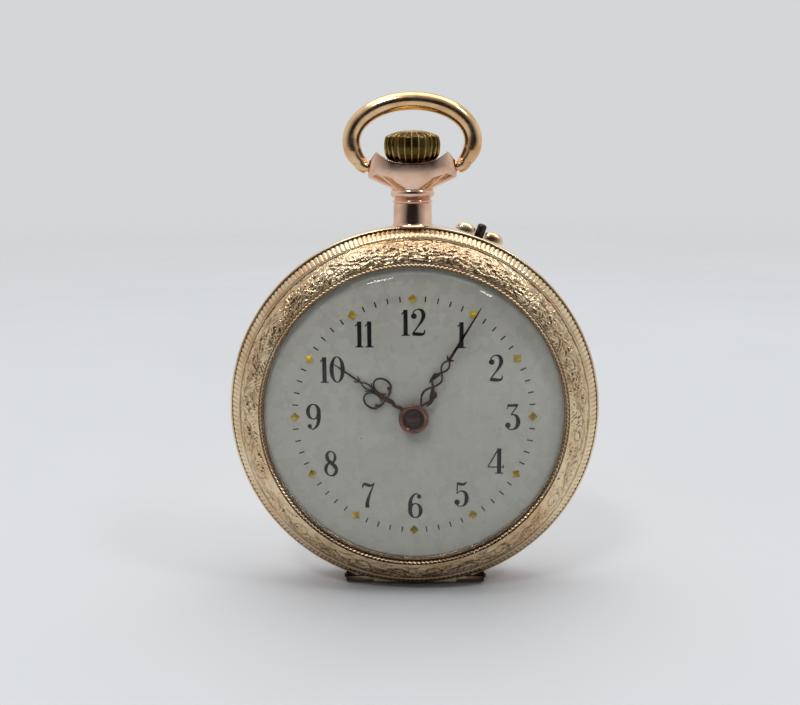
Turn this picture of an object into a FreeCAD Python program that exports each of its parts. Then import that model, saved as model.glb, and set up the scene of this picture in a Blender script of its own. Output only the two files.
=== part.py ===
import FreeCAD, Part
import math
import os
import re
import Sketcher

# An open-faced fob watch with a pin-set keyless movement.
# Every piece is drawn lying on its back: X to 3 o'clock, Y to 12 o'clock, Z towards the viewer,
# with the flat of the back cover at Z = 0. Each piece's Placement then stands the watch up.

Vector = FreeCAD.Vector
doc = FreeCAD.newDocument("fob_watch")

# ---------------------------------------------------------------- driving dimensions (mm)
SIZES = {
    # case
    "case_radius": 16.0, "band_radius": 15.95, "band_bore": 13.62, "band_back": 2.95, "band_front": 4.7,
    "back_flange_radius": 14.6, "back_flange_face": 2.0,
    "front_flange_radius": 14.9, "front_flange_face": 5.5,
    "groove_radius": 14.15, "groove_back": 3.95, "case_gap": 0.1,
    "cover_radius": 15.9, "cover_wall_radius": 15.06, "cover_flat_radius": 9.0, "cover_thickness": 0.45,
    "dust_radius": 14.98, "dust_lip_radius": 14.65, "dust_back": 0.85, "dust_thickness": 0.3,
    "bezel_wall_radius": 14.95, "bezel_top": 7.6, "opening_radius": 12.75,
    "crystal_radius": 13.3, "crystal_seat": 7.16, "crystal_edge": 0.24, "crystal_top": 9.15,
    "crystal_thickness": 0.4, "dome_reach": 11.4, "crystal_shoulder": 12.7,
    # hinges at 6 o'clock
    "hinge_drop": 15.35, "knuckle_radius": 0.55, "knuckle_gap": 0.04, "hinge_half_length": 6.2,
    "hinge_pin_radius": 0.2, "hinge_running": 0.02, "chord_drop": 14.6,
    # pendant, bow and crown, on the stem's axis
    "stem_height": 3.9, "pendant_foot": 16.06, "neck_radius": 1.57, "collar_radius": 1.8,
    "cup_radius": 2.6, "cup_rim": 21.0, "ear_reach": 3.75, "ear_half_depth": 1.05, "pivot_rise": 20.8,
    "pivot_radius": 0.33, "bow_centre": 22.97, "bow_half_width": 5.1, "bow_half_height": 3.3,
    "bow_wire_radius": 0.75, "bow_end_radius": 0.46,
    "crown_radius": 2.42, "crown_bottom": 21.15, "crown_top": 23.9, "crown_flutes": 20, "flute_radius": 0.27,
    "flute_offset": 0.06,
    "stem_radius": 0.38, "stem_square": 0.52, "stem_bore": 0.42, "clutch_radius": 1.3,
    "winding_radius": 1.65,
    # pin set, right of the pendant
    "guard_angle": 20.5, "guard_height": 3.8, "guard_half_length": 1.85, "guard_top": 16.62,
    "guard_half_width": 0.55, "set_pin_radius": 0.42, "set_pin_top": 16.9,
    # movement
    "plate_radius": 13.53, "plate_back": 4.6, "plate_front": 5.75, "bridge_back": 2.25, "bridge_front": 2.85,
    "dial_radius": 13.4, "dial_back": 6.4, "dial_face": 7.0, "dial_hole": 0.75, "seat_radius": 12.7,
    "recess_floor": 4.95, "jewel_radius": 0.42, "pivot_hole": 0.1, "pivot": 0.08, "arbor": 0.2,
    "barrel_x": -5.65, "barrel_y": 3.26, "third_x": 4.12, "third_y": 0.4, "fourth_x": 4.6, "fourth_y": -2.96,
    "escape_x": 2.8, "escape_y": -5.53, "balance_x": 0.81, "balance_y": -6.46,
    "crown_wheel_y": 8.343, "minute_wheel_y": 2.0, "setting_wheel_y": 6.3,
    "barrel_module": 0.145, "centre_module": 0.115, "third_module": 0.1, "fourth_module": 0.095,
    "motion_module": 0.1, "winding_module": 0.2, "wheel_tooth": 0.36, "pinion_tooth": 0.30,
    "balance_radius": 4.3, "balance_rim": 0.42,
    # dial furniture and hands
    "marker_ring": 10.1, "marker_side": 0.55, "marker_rise": 0.16,
    "hand_thickness": 0.12, "hour_hand_level": 7.2, "minute_hand_level": 7.46, "boss_radius": 1.15,
    "hour_reach": 7.8, "minute_reach": 10.8, "hour_angle": 302.75, "minute_angle": 33.0,
}

sheet = doc.addObject("Spreadsheet::Sheet", "Dims")
for row, (alias, value) in enumerate(SIZES.items(), start=1):
    sheet.set(f"A{row}", str(value))
    sheet.setAlias(f"A{row}", alias)
doc.recompute()


def size(alias):
    """The sheet's value for an alias."""
    return float(getattr(sheet, alias))


def linked(text):
    """The expression with each alias in it pointed at the sheet."""
    return re.sub(r"[a-z]+(?:_[a-z]+)*", lambda word: "Dims." + word.group(0), text)


def value_of(text):
    return float(sheet.evalExpression(linked(text)))


UPRIGHT = FreeCAD.Rotation(Vector(1, 0, 0), 90)


def stand(piece, forward="0"):
    """Stands a piece up; forward is how far towards the viewer its own origin lies."""
    upright = FreeCAD.Placement(Vector(0, -value_of(forward), 0), UPRIGHT)
    piece.Placement = upright.multiply(piece.Placement)
    if forward != "0":
        piece.setExpression("Placement.Base.y", linked(f"-({forward})"))


# ---------------------------------------------------------------- drawing helpers
def new_body(label):
    body = doc.addObject("PartDesign::Body", label)
    body.Label = label
    return body


def new_sketch(body, plane_role):
    sketch = body.newObject("Sketcher::SketchObject", f"{body.Name}_sketch")
    plane = next(item for item in body.Origin.OriginFeatures if item.Role == plane_role)
    sketch.AttachmentSupport = [(plane, "")]
    sketch.MapMode = "FlatFace"
    return sketch


def hold_point(sketch, geometry, end, across, along):
    """Ties a curve's end (1 is its first point, 2 its last) to two expressions."""
    for kind, text, axis in (("DistanceX", across, -2), ("DistanceY", along, -1)):
        if value_of(text) == 0:
            sketch.addConstraint(Sketcher.Constraint("PointOnObject", geometry, end, axis))
            continue
        index = sketch.addConstraint(Sketcher.Constraint(kind, -1, 1, geometry, end, value_of(text)))
        sketch.setExpression(f"Constraints[{index}]", linked(text))


def draw_outline(sketch, corners, bends=None):
    """A closed outline through corners; bends[i] is a point that the run after corner i curves through."""
    bends = bends or {}
    points = [Vector(value_of(across), value_of(along), 0) for across, along in corners]
    runs = []
    for number, start in enumerate(points):
        end = points[(number + 1) % len(points)]
        if number in bends:
            through = Vector(*(value_of(text) for text in bends[number]), 0)
            clockwise = (through - start).cross(end - through).z < 0
            first, last = (end, start) if clockwise else (start, end)
            runs.append(sketch.addGeometry(Part.ArcOfCircle(first, through, last), False))
        else:
            runs.append(sketch.addGeometry(Part.LineSegment(start, end), False))
    # an arc is drawn anticlockwise, so its first point may be the run's far end
    near = []
    for number, run in enumerate(runs):
        drawn = sketch.Geometry[run].StartPoint
        near.append(1 if drawn.distanceToPoint(points[number]) < 1e-6 else 2)
    for number, run in enumerate(runs):
        following = (number + 1) % len(runs)
        sketch.addConstraint(Sketcher.Constraint(
            "Coincident", run, 3 - near[number], runs[following], near[following]))
    for number, run in enumerate(runs):
        hold_point(sketch, run, near[number], *corners[number])
    for number, (across, along) in bends.items():
        mark = sketch.addGeometry(Part.Point(Vector(value_of(across), value_of(along), 0)), True)
        hold_point(sketch, mark, 1, across, along)
        sketch.addConstraint(Sketcher.Constraint("PointOnObject", mark, 1, runs[number]))


def turned(label, corners, bends=None, about_stem=False):
    """A piece turned about the hands' axis, or about the stem's axis (corners are radius, distance along)."""
    body = new_body(label)
    sketch = new_sketch(body, "XY_Plane" if about_stem else "XZ_Plane")
    draw_outline(sketch, corners, bends)
    turning = body.newObject("PartDesign::Revolution", f"{label}_turning")
    turning.Profile = sketch
    turning.ReferenceAxis = (sketch, ["V_Axis"])
    turning.Angle = 360
    return body


def move_to(piece, across, upward, forward="0"):
    """Places a building block in the lying frame."""
    for letter, text in zip("xyz", (across, upward, forward)):
        setattr(piece.Placement.Base, letter, value_of(text))
        if text != "0":
            piece.setExpression(f"Placement.Base.{letter}", linked(text))


def block(name, lengths, across, upward, forward):
    piece = doc.addObject("Part::Box", name)
    for side, text in zip(("Length", "Width", "Height"), lengths):
        piece.setExpression(side, linked(text))
    move_to(piece, across, upward, forward)
    return piece


def rod(name, radius, length, across, upward, forward, direction="forward"):
    """A cylinder that runs forward (Z), right (X) or upward (Y) from its start."""
    piece = doc.addObject("Part::Cylinder", name)
    piece.setExpression("Radius", linked(radius))
    piece.setExpression("Height", linked(length))
    turn = {"forward": (0, 0), "right": (1, 90), "upward": (2, -90)}[direction]
    axis = Vector(1, 0, 0) if turn[0] == 2 else Vector(0, 1, 0)
    piece.Placement = FreeCAD.Placement(Vector(0, 0, 0), FreeCAD.Rotation(axis, turn[1]))
    move_to(piece, across, upward, forward)
    return piece


def fused(name, pieces):
    piece = doc.addObject("Part::MultiFuse", name)
    piece.Label = name
    piece.Shapes = pieces
    return piece


def cut_from(name, base, tools):
    piece = doc.addObject("Part::Cut", name)
    piece.Label = name
    piece.Base = base
    piece.Tool = tools[0] if len(tools) == 1 else fused(f"{name}_cutters", tools)
    return piece


def shaped(label, shape):
    """A piece whose shape is worked out here from the sheet's sizes."""
    piece = doc.addObject("Part::Feature", label)
    piece.Label = label
    piece.Shape = shape
    return piece


def disc(radius, back, front, across=0.0, upward=0.0):
    return Part.makeCylinder(radius, front - back, Vector(across, upward, back))


def joined(shapes):
    whole = shapes[0].multiFuse(shapes[1:]) if len(shapes) > 1 else shapes[0]
    return whole.removeSplitter()


def at(across, upward):
    return Vector(across, upward, 0)


def slab(face_points, back, front):
    """A flat plate with straight sides."""
    wire = Part.makePolygon([Vector(a, u, back) for a, u in face_points] + [Vector(*face_points[0], back)])
    return Part.Face(wire).extrude(Vector(0, 0, front - back))


def polar(radius, degrees):
    """A point at a clock angle, clockwise from 12."""
    turn = math.radians(degrees)
    return radius * math.sin(turn), radius * math.cos(turn)


def tapered_bar(start, start_radius, end, end_radius, back, front):
    """A flat finger with a round at each end and straight sides tangent to both."""
    run = at(*end) - at(*start)
    heading = math.atan2(run.y, run.x)
    lean = math.acos((start_radius - end_radius) / run.Length)
    sides = []
    for centre, radius in ((start, start_radius), (end, end_radius)):
        for side in (1, -1):
            angle = heading + side * lean
            sides.append((centre[0] + radius * math.cos(angle), centre[1] + radius * math.sin(angle)))
    quad = slab([sides[0], sides[1], sides[3], sides[2]], back, front)
    return joined([quad, disc(start_radius, back, front, *start), disc(end_radius, back, front, *end)])


def toothed(teeth, module, share, back, front, phase=0.0, bore=0.0):
    """A spur wheel; share is the tooth's thickness over the pitch, phase where a tooth's middle stands."""
    pitch_radius = teeth * module / 2
    root = pitch_radius - 1.2 * module
    tip = pitch_radius + 0.9 * module
    step = 2 * math.pi / teeth
    outline = []
    for number in range(teeth):
        middle = math.radians(phase) + number * step
        for radius, half in ((root, 0.62), (pitch_radius, 0.5), (tip, 0.2)):
            outline.append((radius, middle - half * share * step))
        for radius, half in ((tip, 0.2), (pitch_radius, 0.5), (root, 0.62)):
            outline.append((radius, middle + half * share * step))
    points = [(radius * math.cos(angle), radius * math.sin(angle)) for radius, angle in outline]
    wheel = slab(points, back, front)
    if bore:
        wheel = wheel.cut(disc(bore, back - 1, front + 1))
    return wheel


def spoked(wheel, outer, inner, spokes, spoke_width, back, front, phase=0.0):
    """Opens the web of a wheel between its rim and its hub, leaving spokes."""
    web = disc(outer, back - 0.1, front + 0.1).cut(disc(inner, back - 0.2, front + 0.2))
    for number in range(spokes):
        corner = Vector(0, -spoke_width / 2, back - 0.5)
        arm = Part.makeBox(outer * 1.1, spoke_width, front - back + 1, corner)
        arm.rotate(Vector(0, 0, 0), Vector(0, 0, 1), phase + 360 * number / spokes)
        web = web.cut(arm)
    return wheel.cut(web)


def moved(shape, across, upward):
    copy = shape.copy()
    copy.translate(Vector(across, upward, 0))
    return copy


pieces = {}


def keep(piece, forward="0"):
    """Adds a sub-part to the list that is written, standing up."""
    stand(piece, forward)
    pieces[piece.Label] = piece


# ---------------------------------------------------------------- case
BEZEL_HINGE = "band_front + case_gap / 2"
COVER_HINGE = "band_back - case_gap / 2"


def knuckles(name, count, members, height, web_drop, web_depth, web_back, web_front):
    """Hinge tubes at 6 o'clock, numbered from the left, each with a web towards the part it belongs to."""
    parts = []
    for member in members:
        start = f"hinge_half_length * {2 * member / count - 1} + knuckle_gap / 2"
        length = f"hinge_half_length * {2 / count} - knuckle_gap"
        tube = rod(f"{name}_tube_{member}", "knuckle_radius", length, start, "-hinge_drop", height, "right")
        web = block(f"{name}_web_{member}", (length, web_depth, f"({web_front}) - ({web_back})"),
                    start, web_drop, web_back)
        parts += [tube, web]
    return parts


def hinge_rod(name, radius, height, spare="0"):
    return rod(name, radius, f"2 * (hinge_half_length + {spare})",
               f"-(hinge_half_length + {spare})", "-hinge_drop", height, "right")


def build_band():
    ring = turned("band_ring", [
        ("band_bore", "back_flange_face"), ("back_flange_radius", "back_flange_face"),
        ("back_flange_radius", "band_back"), ("band_radius", "band_back"), ("band_radius", "band_front"),
        ("front_flange_radius", "band_front"), ("front_flange_radius", "front_flange_face"),
        ("band_bore", "front_flange_face"), ("band_bore", "plate_back"), ("groove_radius", "plate_back"),
        ("groove_radius", "groove_back"), ("band_bore", "groove_back")])
    chord = block("band_chord", ("2 * hinge_half_length + 0.1", "2", "4"),
                  "-hinge_half_length - 0.05", "-chord_drop - 2", "1.9")
    stem_hole = rod("band_stem_hole", "stem_bore + 0.02", "4", "0", "13", "stem_height", "upward")
    pin_hole = rod("band_pin_hole", "set_pin_radius + hinge_running", "18",
                   "0", "0", "guard_height", "upward")
    pin_hole.Placement.Rotation = guard_turn().multiply(pin_hole.Placement.Rotation)
    bare = cut_from("band_cut", ring, [chord, stem_hole, pin_hole])
    front = knuckles("band_front_knuckle", 5, (0, 2, 4), BEZEL_HINGE, "-hinge_drop",
                     "1.1", "band_front - 0.45", "band_front - 0.05")
    back = knuckles("band_back_knuckle", 7, (0, 3, 6), COVER_HINGE, "-hinge_drop",
                    "1.1", "band_back + 0.05", "band_back + 0.45")
    whole = fused("band_whole", [bare] + front + back)
    bores = [hinge_rod("band_bezel_bore", "hinge_pin_radius", BEZEL_HINGE, "0.1"),
             hinge_rod("band_cover_bore", "hinge_pin_radius", COVER_HINGE, "0.1")]
    keep(cut_from("case_band", whole, bores))


def guard_turn():
    return FreeCAD.Rotation(Vector(0, 0, 1), -size("guard_angle"))


def build_hinge_pins():
    for name, height in (("bezel_hinge_pin", BEZEL_HINGE), ("cover_hinge_pin", COVER_HINGE)):
        half = size("hinge_half_length") + 0.15
        start = Vector(-half, -size("hinge_drop"), value_of(height))
        pin = Part.makeCylinder(size("hinge_pin_radius"), 2 * half, start, Vector(1, 0, 0))
        keep(shaped(name, pin))


def build_bezel():
    ring = turned("bezel_ring", [
        ("bezel_wall_radius", "band_front + case_gap"), ("case_radius", "band_front + case_gap"),
        ("case_radius", "bezel_top - 2.45"), ("case_radius - 0.12", "bezel_top - 2.3"),
        ("case_radius - 0.4", "bezel_top - 2.3"), ("case_radius - 0.4", "bezel_top - 2.1"),
        ("case_radius - 0.35", "bezel_top - 2.05"), ("case_radius - 0.85", "bezel_top - 1.5"),
        ("case_radius - 1.02", "bezel_top - 1.48"), ("opening_radius + 0.3", "bezel_top"),
        ("opening_radius", "bezel_top"), ("opening_radius", "crystal_seat + 0.26"),
        ("crystal_radius + 0.02", "crystal_seat + 0.26"), ("crystal_radius + 0.02", "crystal_seat - 0.02"),
        ("crystal_radius - 0.2", "crystal_seat - 0.02"), ("crystal_radius - 0.2", "dial_face + 0.05"),
        ("crystal_radius + 0.4", "dial_face + 0.05"), ("crystal_radius + 0.4", "front_flange_face + 0.1"),
        ("bezel_wall_radius", "front_flange_face + 0.1")],
        bends={6: ("case_radius - 0.52", "bezel_top - 1.7"), 8: ("case_radius - 1.65", "bezel_top - 0.5")})
    relief = hinge_rod("bezel_relief", "knuckle_radius + 0.07", BEZEL_HINGE, "0.1")
    bare = cut_from("bezel_cut", ring, [relief])
    own = knuckles("bezel_knuckle", 5, (1, 3), BEZEL_HINGE, "-hinge_drop - 0.3",
                   "0.65", "band_front + case_gap", "band_front + 0.8")
    whole = fused("bezel_whole", [bare] + own)
    bore = hinge_rod("bezel_bore", "hinge_pin_radius + hinge_running", BEZEL_HINGE, "0.3")
    keep(cut_from("bezel", whole, [bore]))


def dome_height(radius, apex):
    """Height of the crystal's shallow dome at a radius."""
    return apex - 0.8 * (radius / size("dome_reach")) ** 2


def build_crystal():
    """A shallow dome with a tight curve down to its edge."""
    top, seat, edge_radius = size("crystal_top"), size("crystal_seat"), size("crystal_radius")
    under, edge = top - size("crystal_thickness"), seat + size("crystal_edge")
    reach, shoulder = size("dome_reach"), size("crystal_shoulder")
    inner_reach, inner_shoulder = reach - 0.2, shoulder - 0.2

    def spot(radius, height):
        return Vector(radius, 0, height)

    def dome(apex, end):
        middle = spot(end / 2, dome_height(end / 2, apex))
        return Part.Arc(spot(0, apex), middle, spot(end, dome_height(end, apex))).toShape()

    under_bend = Part.Arc(spot(inner_reach, dome_height(inner_reach, under)),
                          spot(inner_shoulder - 0.45, seat + 0.52), spot(inner_shoulder, seat))
    top_bend = Part.Arc(spot(shoulder, edge), spot(shoulder - 0.37, top - 1.2),
                        spot(reach, dome_height(reach, top)))
    outline = Part.Wire([
        dome(under, inner_reach), under_bend.toShape(),
        Part.makeLine(spot(inner_shoulder, seat), spot(edge_radius, seat)),
        Part.makeLine(spot(edge_radius, seat), spot(edge_radius, edge)),
        Part.makeLine(spot(edge_radius, edge), spot(shoulder, edge)),
        top_bend.toShape(), dome(top, reach),
        Part.makeLine(spot(0, top), spot(0, under))])
    keep(shaped("crystal", Part.Face(outline).revolve(Vector(0, 0, 0), Vector(0, 0, 1), 360)))


def build_back_cover():
    shell = turned("back_shell", [
        ("0", "0"), ("cover_flat_radius", "0"), ("14.9", "0.75"), ("cover_radius", "1.35"),
        ("cover_radius", "band_back - case_gap"), ("cover_wall_radius", "band_back - case_gap"),
        ("cover_wall_radius", "1.42"), ("14.5", "1.13"), ("cover_flat_radius", "cover_thickness"),
        ("0", "cover_thickness")],
        bends={1: ("12", "0.19"), 7: ("11.8", "cover_thickness + 0.174")})
    cutters = [hinge_rod("back_relief", "knuckle_radius + 0.07", COVER_HINGE, "0.1")]
    for member in (2, 4):
        start = f"hinge_half_length * {2 * member / 7 - 1} - 0.05"
        cutters.append(block(f"back_notch_{member}", ("hinge_half_length * 0.2857 + 0.1", "1.3", "0.9"),
                             start, "-hinge_drop - 0.5", "2.1"))
    bare = cut_from("back_cut", shell, cutters)
    own = knuckles("back_knuckle", 7, (1, 5), COVER_HINGE, "-hinge_drop - 0.25",
                   "0.6", "2.2", "band_back - case_gap")
    whole = fused("back_whole", [bare] + own)
    bore = hinge_rod("back_bore", "hinge_pin_radius + hinge_running", COVER_HINGE, "0.3")
    keep(cut_from("back_cover", whole, [bore]))


def build_dust_cover():
    shell = turned("dust_shell", [
        ("0", "dust_back"), ("10.5", "dust_back"), ("14.5", "dust_back + 0.57"), ("dust_radius", "1.6"),
        ("dust_radius", "band_back - case_gap"), ("dust_lip_radius", "band_back - case_gap"),
        ("dust_lip_radius", "1.9"), ("14.3", "1.75"), ("10.5", "dust_back + dust_thickness"),
        ("0", "dust_back + dust_thickness")],
        bends={1: ("12.5", "dust_back + 0.14"), 7: ("12.4", "dust_back + dust_thickness + 0.147")})
    relief = hinge_rod("dust_relief", "knuckle_radius + 0.07", COVER_HINGE, "0.1")
    bare = cut_from("dust_cut", shell, [relief])
    own = knuckles("dust_knuckle", 7, (2, 4), COVER_HINGE, "-hinge_drop", "0.65", "2.25", "2.8")
    whole = fused("dust_whole", [bare] + own)
    bore = hinge_rod("dust_bore", "hinge_pin_radius + hinge_running", COVER_HINGE, "0.3")
    keep(cut_from("dust_cover", whole, [bore]))


# ---------------------------------------------------------------- pendant, bow, crown and set pin
def build_pendant():
    neck = turned("pendant_neck", [
        ("stem_bore + 0.02", "15.5"), ("neck_radius + 0.18", "15.5"), ("neck_radius + 0.18", "16.2"),
        ("neck_radius", "16.5"), ("neck_radius", "17.75"), ("neck_radius - 0.15", "18"),
        ("neck_radius - 0.15", "18.3"), ("collar_radius", "18.5"), ("collar_radius", "18.95"),
        ("neck_radius", "19.15"), ("neck_radius + 0.33", "20.1"), ("cup_radius", "cup_rim - 0.15"),
        ("cup_radius - 0.12", "cup_rim"),
        ("2.05", "cup_rim - 0.1"), ("2.05", "20.3"), ("0.9", "20.3"), ("0.9", "16.6"),
        ("stem_bore + 0.02", "16.6")], about_stem=True)
    ears = new_body("pendant_ears")
    sketch = new_sketch(ears, "XY_Plane")
    for side in ("", "-"):
        outline = [("1.5", "19.3"), ("2.6", "19.5"), ("ear_reach", "19.95"), ("ear_reach", "21.2"),
                   ("3.15", "22.15"), ("2.75", "22.15"), ("2.25", "21.3"), ("2.25", "20.7"), ("1.5", "20.7")]
        draw_outline(sketch, [(f"{side}{across}", along) for across, along in outline])
    pad = ears.newObject("PartDesign::Pad", "pendant_ears_pad")
    pad.Profile = sketch
    pad.setExpression("Length", linked("2 * ear_half_depth"))
    pad.Midplane = True
    pad_block = block("pendant_pad", ("2.8", "1", "1.4"), "-1.4", "15.6", "-0.7")
    mouth = rod("pendant_mouth", "crown_radius + 0.1", "3", "0", "cup_rim + 0.05", "0", "upward")
    recess = rod("pendant_recess", "2.05", "3", "0", "20.3", "0", "upward")
    pivot_bore = rod("pendant_pivot_bore", "pivot_radius + hinge_running", "8",
                     "-4", "pivot_rise", "0", "right")
    seat = rod("pendant_seat", "pendant_foot", "6", "0", "0", "-3")
    upper = cut_from("pendant_upper", fused("pendant_lump", [neck, ears]), [mouth, recess, pivot_bore, seat])
    bore = rod("pendant_pad_bore", "stem_bore + 0.02", "4", "0", "14", "0", "upward")
    band_seat = rod("pendant_band_seat", "band_radius", "6", "0", "0", "-3")
    foot = cut_from("pendant_foot_pad", pad_block, [bore, band_seat])
    keep(fused("pendant", [upper, foot]), "stem_height")
    keep(turned("stem_sleeve", [("stem_bore", "16.6"), ("0.9", "16.6"), ("0.9", "19.4"),
                                ("stem_bore", "19.4")], about_stem=True), "stem_height")


def build_bow():
    """A round wire on an oval, thinner towards the ends, with a pivot pin at each end."""
    end_lean = 36
    sections = []
    count = 32
    for number in range(count + 1):
        lean = -end_lean + (180 + 2 * end_lean) * number / count
        turn = math.radians(lean)
        centre = Vector(size("bow_half_width") * math.cos(turn),
                        size("bow_centre") + size("bow_half_height") * math.sin(turn), 0)
        heading = Vector(-size("bow_half_width") * math.sin(turn),
                         size("bow_half_height") * math.cos(turn), 0)
        past = max(0.0, (abs(lean - 90) - 75) / (15 + end_lean))
        wire_radius = size("bow_wire_radius") + (0.4 - size("bow_wire_radius")) * past ** 1.5
        sections.append(Part.Wire(Part.makeCircle(wire_radius, centre, heading)))
    wire = Part.makeLoft(sections, True)
    rise = size("pivot_rise")
    ends = []
    for side in (1, -1):
        outward = Vector(side, 0, 0)
        eye_start = Vector(side * (size("ear_reach") + 0.05), rise, 0)
        eye = Part.makeCylinder(size("bow_end_radius"), 0.55, eye_start, outward)
        pin = Part.makeCylinder(size("pivot_radius"), 1.3, Vector(side * (size("ear_reach") - 1.0), rise, 0),
                                outward)
        ends += [eye, pin]
    keep(shaped("bow", joined([wire] + ends)), "stem_height")


def build_crown():
    blank = turned("crown_blank", [
        ("stem_radius", "20.5"), ("1.6", "20.5"), ("1.6", "crown_bottom"),
        ("crown_radius - 0.12", "crown_bottom"),
        ("crown_radius", "crown_bottom + 0.35"), ("crown_radius", "crown_top - 1"),
        ("crown_radius - 0.25", "crown_top - 0.5"), ("crown_radius - 1", "crown_top - 0.24"),
        ("crown_radius - 1.7", "crown_top - 0.07"), ("0", "crown_top"), ("0", "21.6"),
        ("stem_radius", "21.6")],
        bends={5: ("crown_radius - 0.06", "crown_top - 0.72")}, about_stem=True)
    flutes = []
    for number in range(int(size("crown_flutes"))):
        turn = 2 * math.pi * number / size("crown_flutes")
        flutes.append(rod(
            f"crown_flute_{number}", "flute_radius", "crown_top - crown_bottom + 2",
            f"(crown_radius + flute_offset) * {math.cos(turn):.6f}", "crown_bottom - 1",
            f"(crown_radius + flute_offset) * {math.sin(turn):.6f}", "upward"))
    keep(cut_from("crown", blank, flutes), "stem_height")


def build_stem():
    shaft = turned("stem_shaft", [
        ("0", "8.6"), ("0.25", "8.6"), ("0.25", "9.3"), ("stem_square / 2", "9.3"), ("stem_square / 2", "11"),
        ("stem_radius", "11"), ("stem_radius", "21.6"), ("0", "21.6")], about_stem=True)
    square = block("stem_square_run", ("stem_square", "1.7", "stem_square"),
                   "-stem_square / 2", "9.3", "-stem_square / 2")
    keep(fused("winding_stem", [shaft, square]), "stem_height")


def laid_along_stem(shape):
    """Turns a wheel drawn about the hands' axis onto the stem's axis."""
    shape.rotate(Vector(0, 0, 0), Vector(1, 0, 0), -90)
    return shape


def build_winding_train():
    clutch = toothed(12, 0.2, 0.5, 9.8, 10.8)
    clutch = clutch.common(disc(size("clutch_radius"), 9.7, 10.9))
    neck = disc(3, 10.15, 10.45).cut(disc(0.8, 10, 10.6))
    side = size("stem_square") + 0.04
    square = Part.makeBox(side, side, 3, Vector(-side / 2, -side / 2, 9))
    keep(shaped("clutch_pinion", laid_along_stem(clutch.cut(neck).cut(square))), "stem_height")
    pinion = toothed(15, 0.2, 0.45, 11.3, 12.1, bore=size("stem_bore"))
    pinion = pinion.common(disc(size("winding_radius"), 11.2, 12.2))
    keep(shaped("winding_pinion", laid_along_stem(pinion)), "stem_height")
    module = size("winding_module")
    barrel = (size("barrel_x"), size("barrel_y"))
    crown_centre = (0.0, size("crown_wheel_y"))
    heading = bearing(crown_centre, barrel)
    crown_wheel = toothed(32, module, 0.42, 1.8, 2.15, phase=heading, bore=0.78)
    keep(shaped("crown_wheel", moved(crown_wheel, *crown_centre)))
    core = joined([disc(1.2, 1.55, 1.78), disc(0.75, 1.7, 2.25), disc(0.35, 2.2, 2.8)])
    slot = Part.makeBox(3, 0.22, 0.14, Vector(-1.5, -0.11, 1.5))
    keep(shaped("crown_wheel_core", moved(core.cut(slot), *crown_centre)))
    ratchet = toothed(44, module, 0.42, 1.8, 2.12, phase=heading + 180 + 180 / 44)
    hole = Part.makeBox(0.8, 0.8, 2, Vector(-0.4, -0.4, 1))
    keep(shaped("ratchet_wheel", moved(ratchet.cut(hole), *barrel)))
    square_end = Part.makeBox(0.8, 0.8, 0.6, Vector(-0.4, -0.4, 1.8))
    arbor = joined([square_end, disc(0.58, 2.2, 3.85), disc(0.9, 3.85, 4.15), disc(0.45, 4.15, 5.2)])
    arbor = arbor.cut(disc(0.3, 1.7, 2.6))
    keep(shaped("barrel_arbor", moved(arbor, *barrel)))
    screw = joined([disc(0.9, 1.55, 1.78), disc(0.3, 1.7, 2.6)]).cut(slot)
    keep(shaped("ratchet_screw", moved(screw, *barrel)))
    click = tapered_bar((-9.4, -1.9), 0.6, (-6.7, -1.5), 0.2, 1.85, 2.1).cut(disc(0.27, 1, 3, -9.4, -1.9))
    post = disc(0.25, 1.8, 2.8, -9.4, -1.9)
    keep(shaped("click", click))
    spring = tapered_bar((-6.4, -2.9), 0.3, (-8.2, -2.45), 0.12, 1.95, 2.25)
    keep(shaped("click_spring", Part.makeCompound([spring, post])))


def bearing(start, end):
    return math.degrees(math.atan2(end[1] - start[1], end[0] - start[0]))


def build_set_pin():
    spindle = Part.makeCylinder(size("set_pin_radius"), size("set_pin_top") - 13.4, Vector(0, 13.25, 0),
                                Vector(0, 1, 0))
    crown_end = Part.makeCone(size("set_pin_radius"), size("set_pin_radius") - 0.12, 0.15,
                              Vector(0, size("set_pin_top") - 0.15, 0), Vector(0, 1, 0))
    pin = joined([spindle, crown_end])
    half, rise = size("guard_half_length"), size("guard_top")
    foot = size("band_radius")
    gap = size("set_pin_radius") + 0.12
    outline = Part.Wire([
        Part.makeLine(at(-half, foot - 0.4), at(-half, foot - 0.05)),
        Part.Arc(at(-half, foot - 0.05), at(-half * 0.68, rise - 0.14), at(-gap, rise)).toShape(),
        Part.makeLine(at(-gap, rise), at(-gap, foot + 0.2)),
        Part.makeLine(at(-gap, foot + 0.2), at(gap, foot + 0.2)),
        Part.makeLine(at(gap, foot + 0.2), at(gap, rise)),
        Part.Arc(at(gap, rise), at(half * 0.68, rise - 0.14), at(half, foot - 0.05)).toShape(),
        Part.makeLine(at(half, foot - 0.05), at(half, foot - 0.4)),
        Part.makeLine(at(half, foot - 0.4), at(-half, foot - 0.4))])
    width = size("guard_half_width")
    guard = Part.Face(outline).extrude(Vector(0, 0, 2 * width))
    guard.translate(Vector(0, 0, -width))
    guard = guard.cut(disc(foot, -2, 2))
    guard = guard.cut(Part.makeCylinder(size("set_pin_radius") + 0.02, 5, Vector(0, 13, 0), Vector(0, 1, 0)))
    for name, shape in (("set_pin", pin), ("set_pin_guard", guard)):
        shape.rotate(Vector(0, 0, 0), Vector(0, 0, 1), -size("guard_angle"))
        keep(shaped(name, shape), "guard_height")
    lever = joined([tapered_bar((5.6, 9.9), 0.6, (1.25, 10.3), 0.11, 3.8, 4.0),
                    tapered_bar((5.6, 9.9), 0.6, (4.45, 11.85), 0.3, 3.8, 4.0),
                    disc(0.25, 2.9, 5.2, 5.6, 9.9)])
    keep(shaped("setting_yoke", lever))


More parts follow.
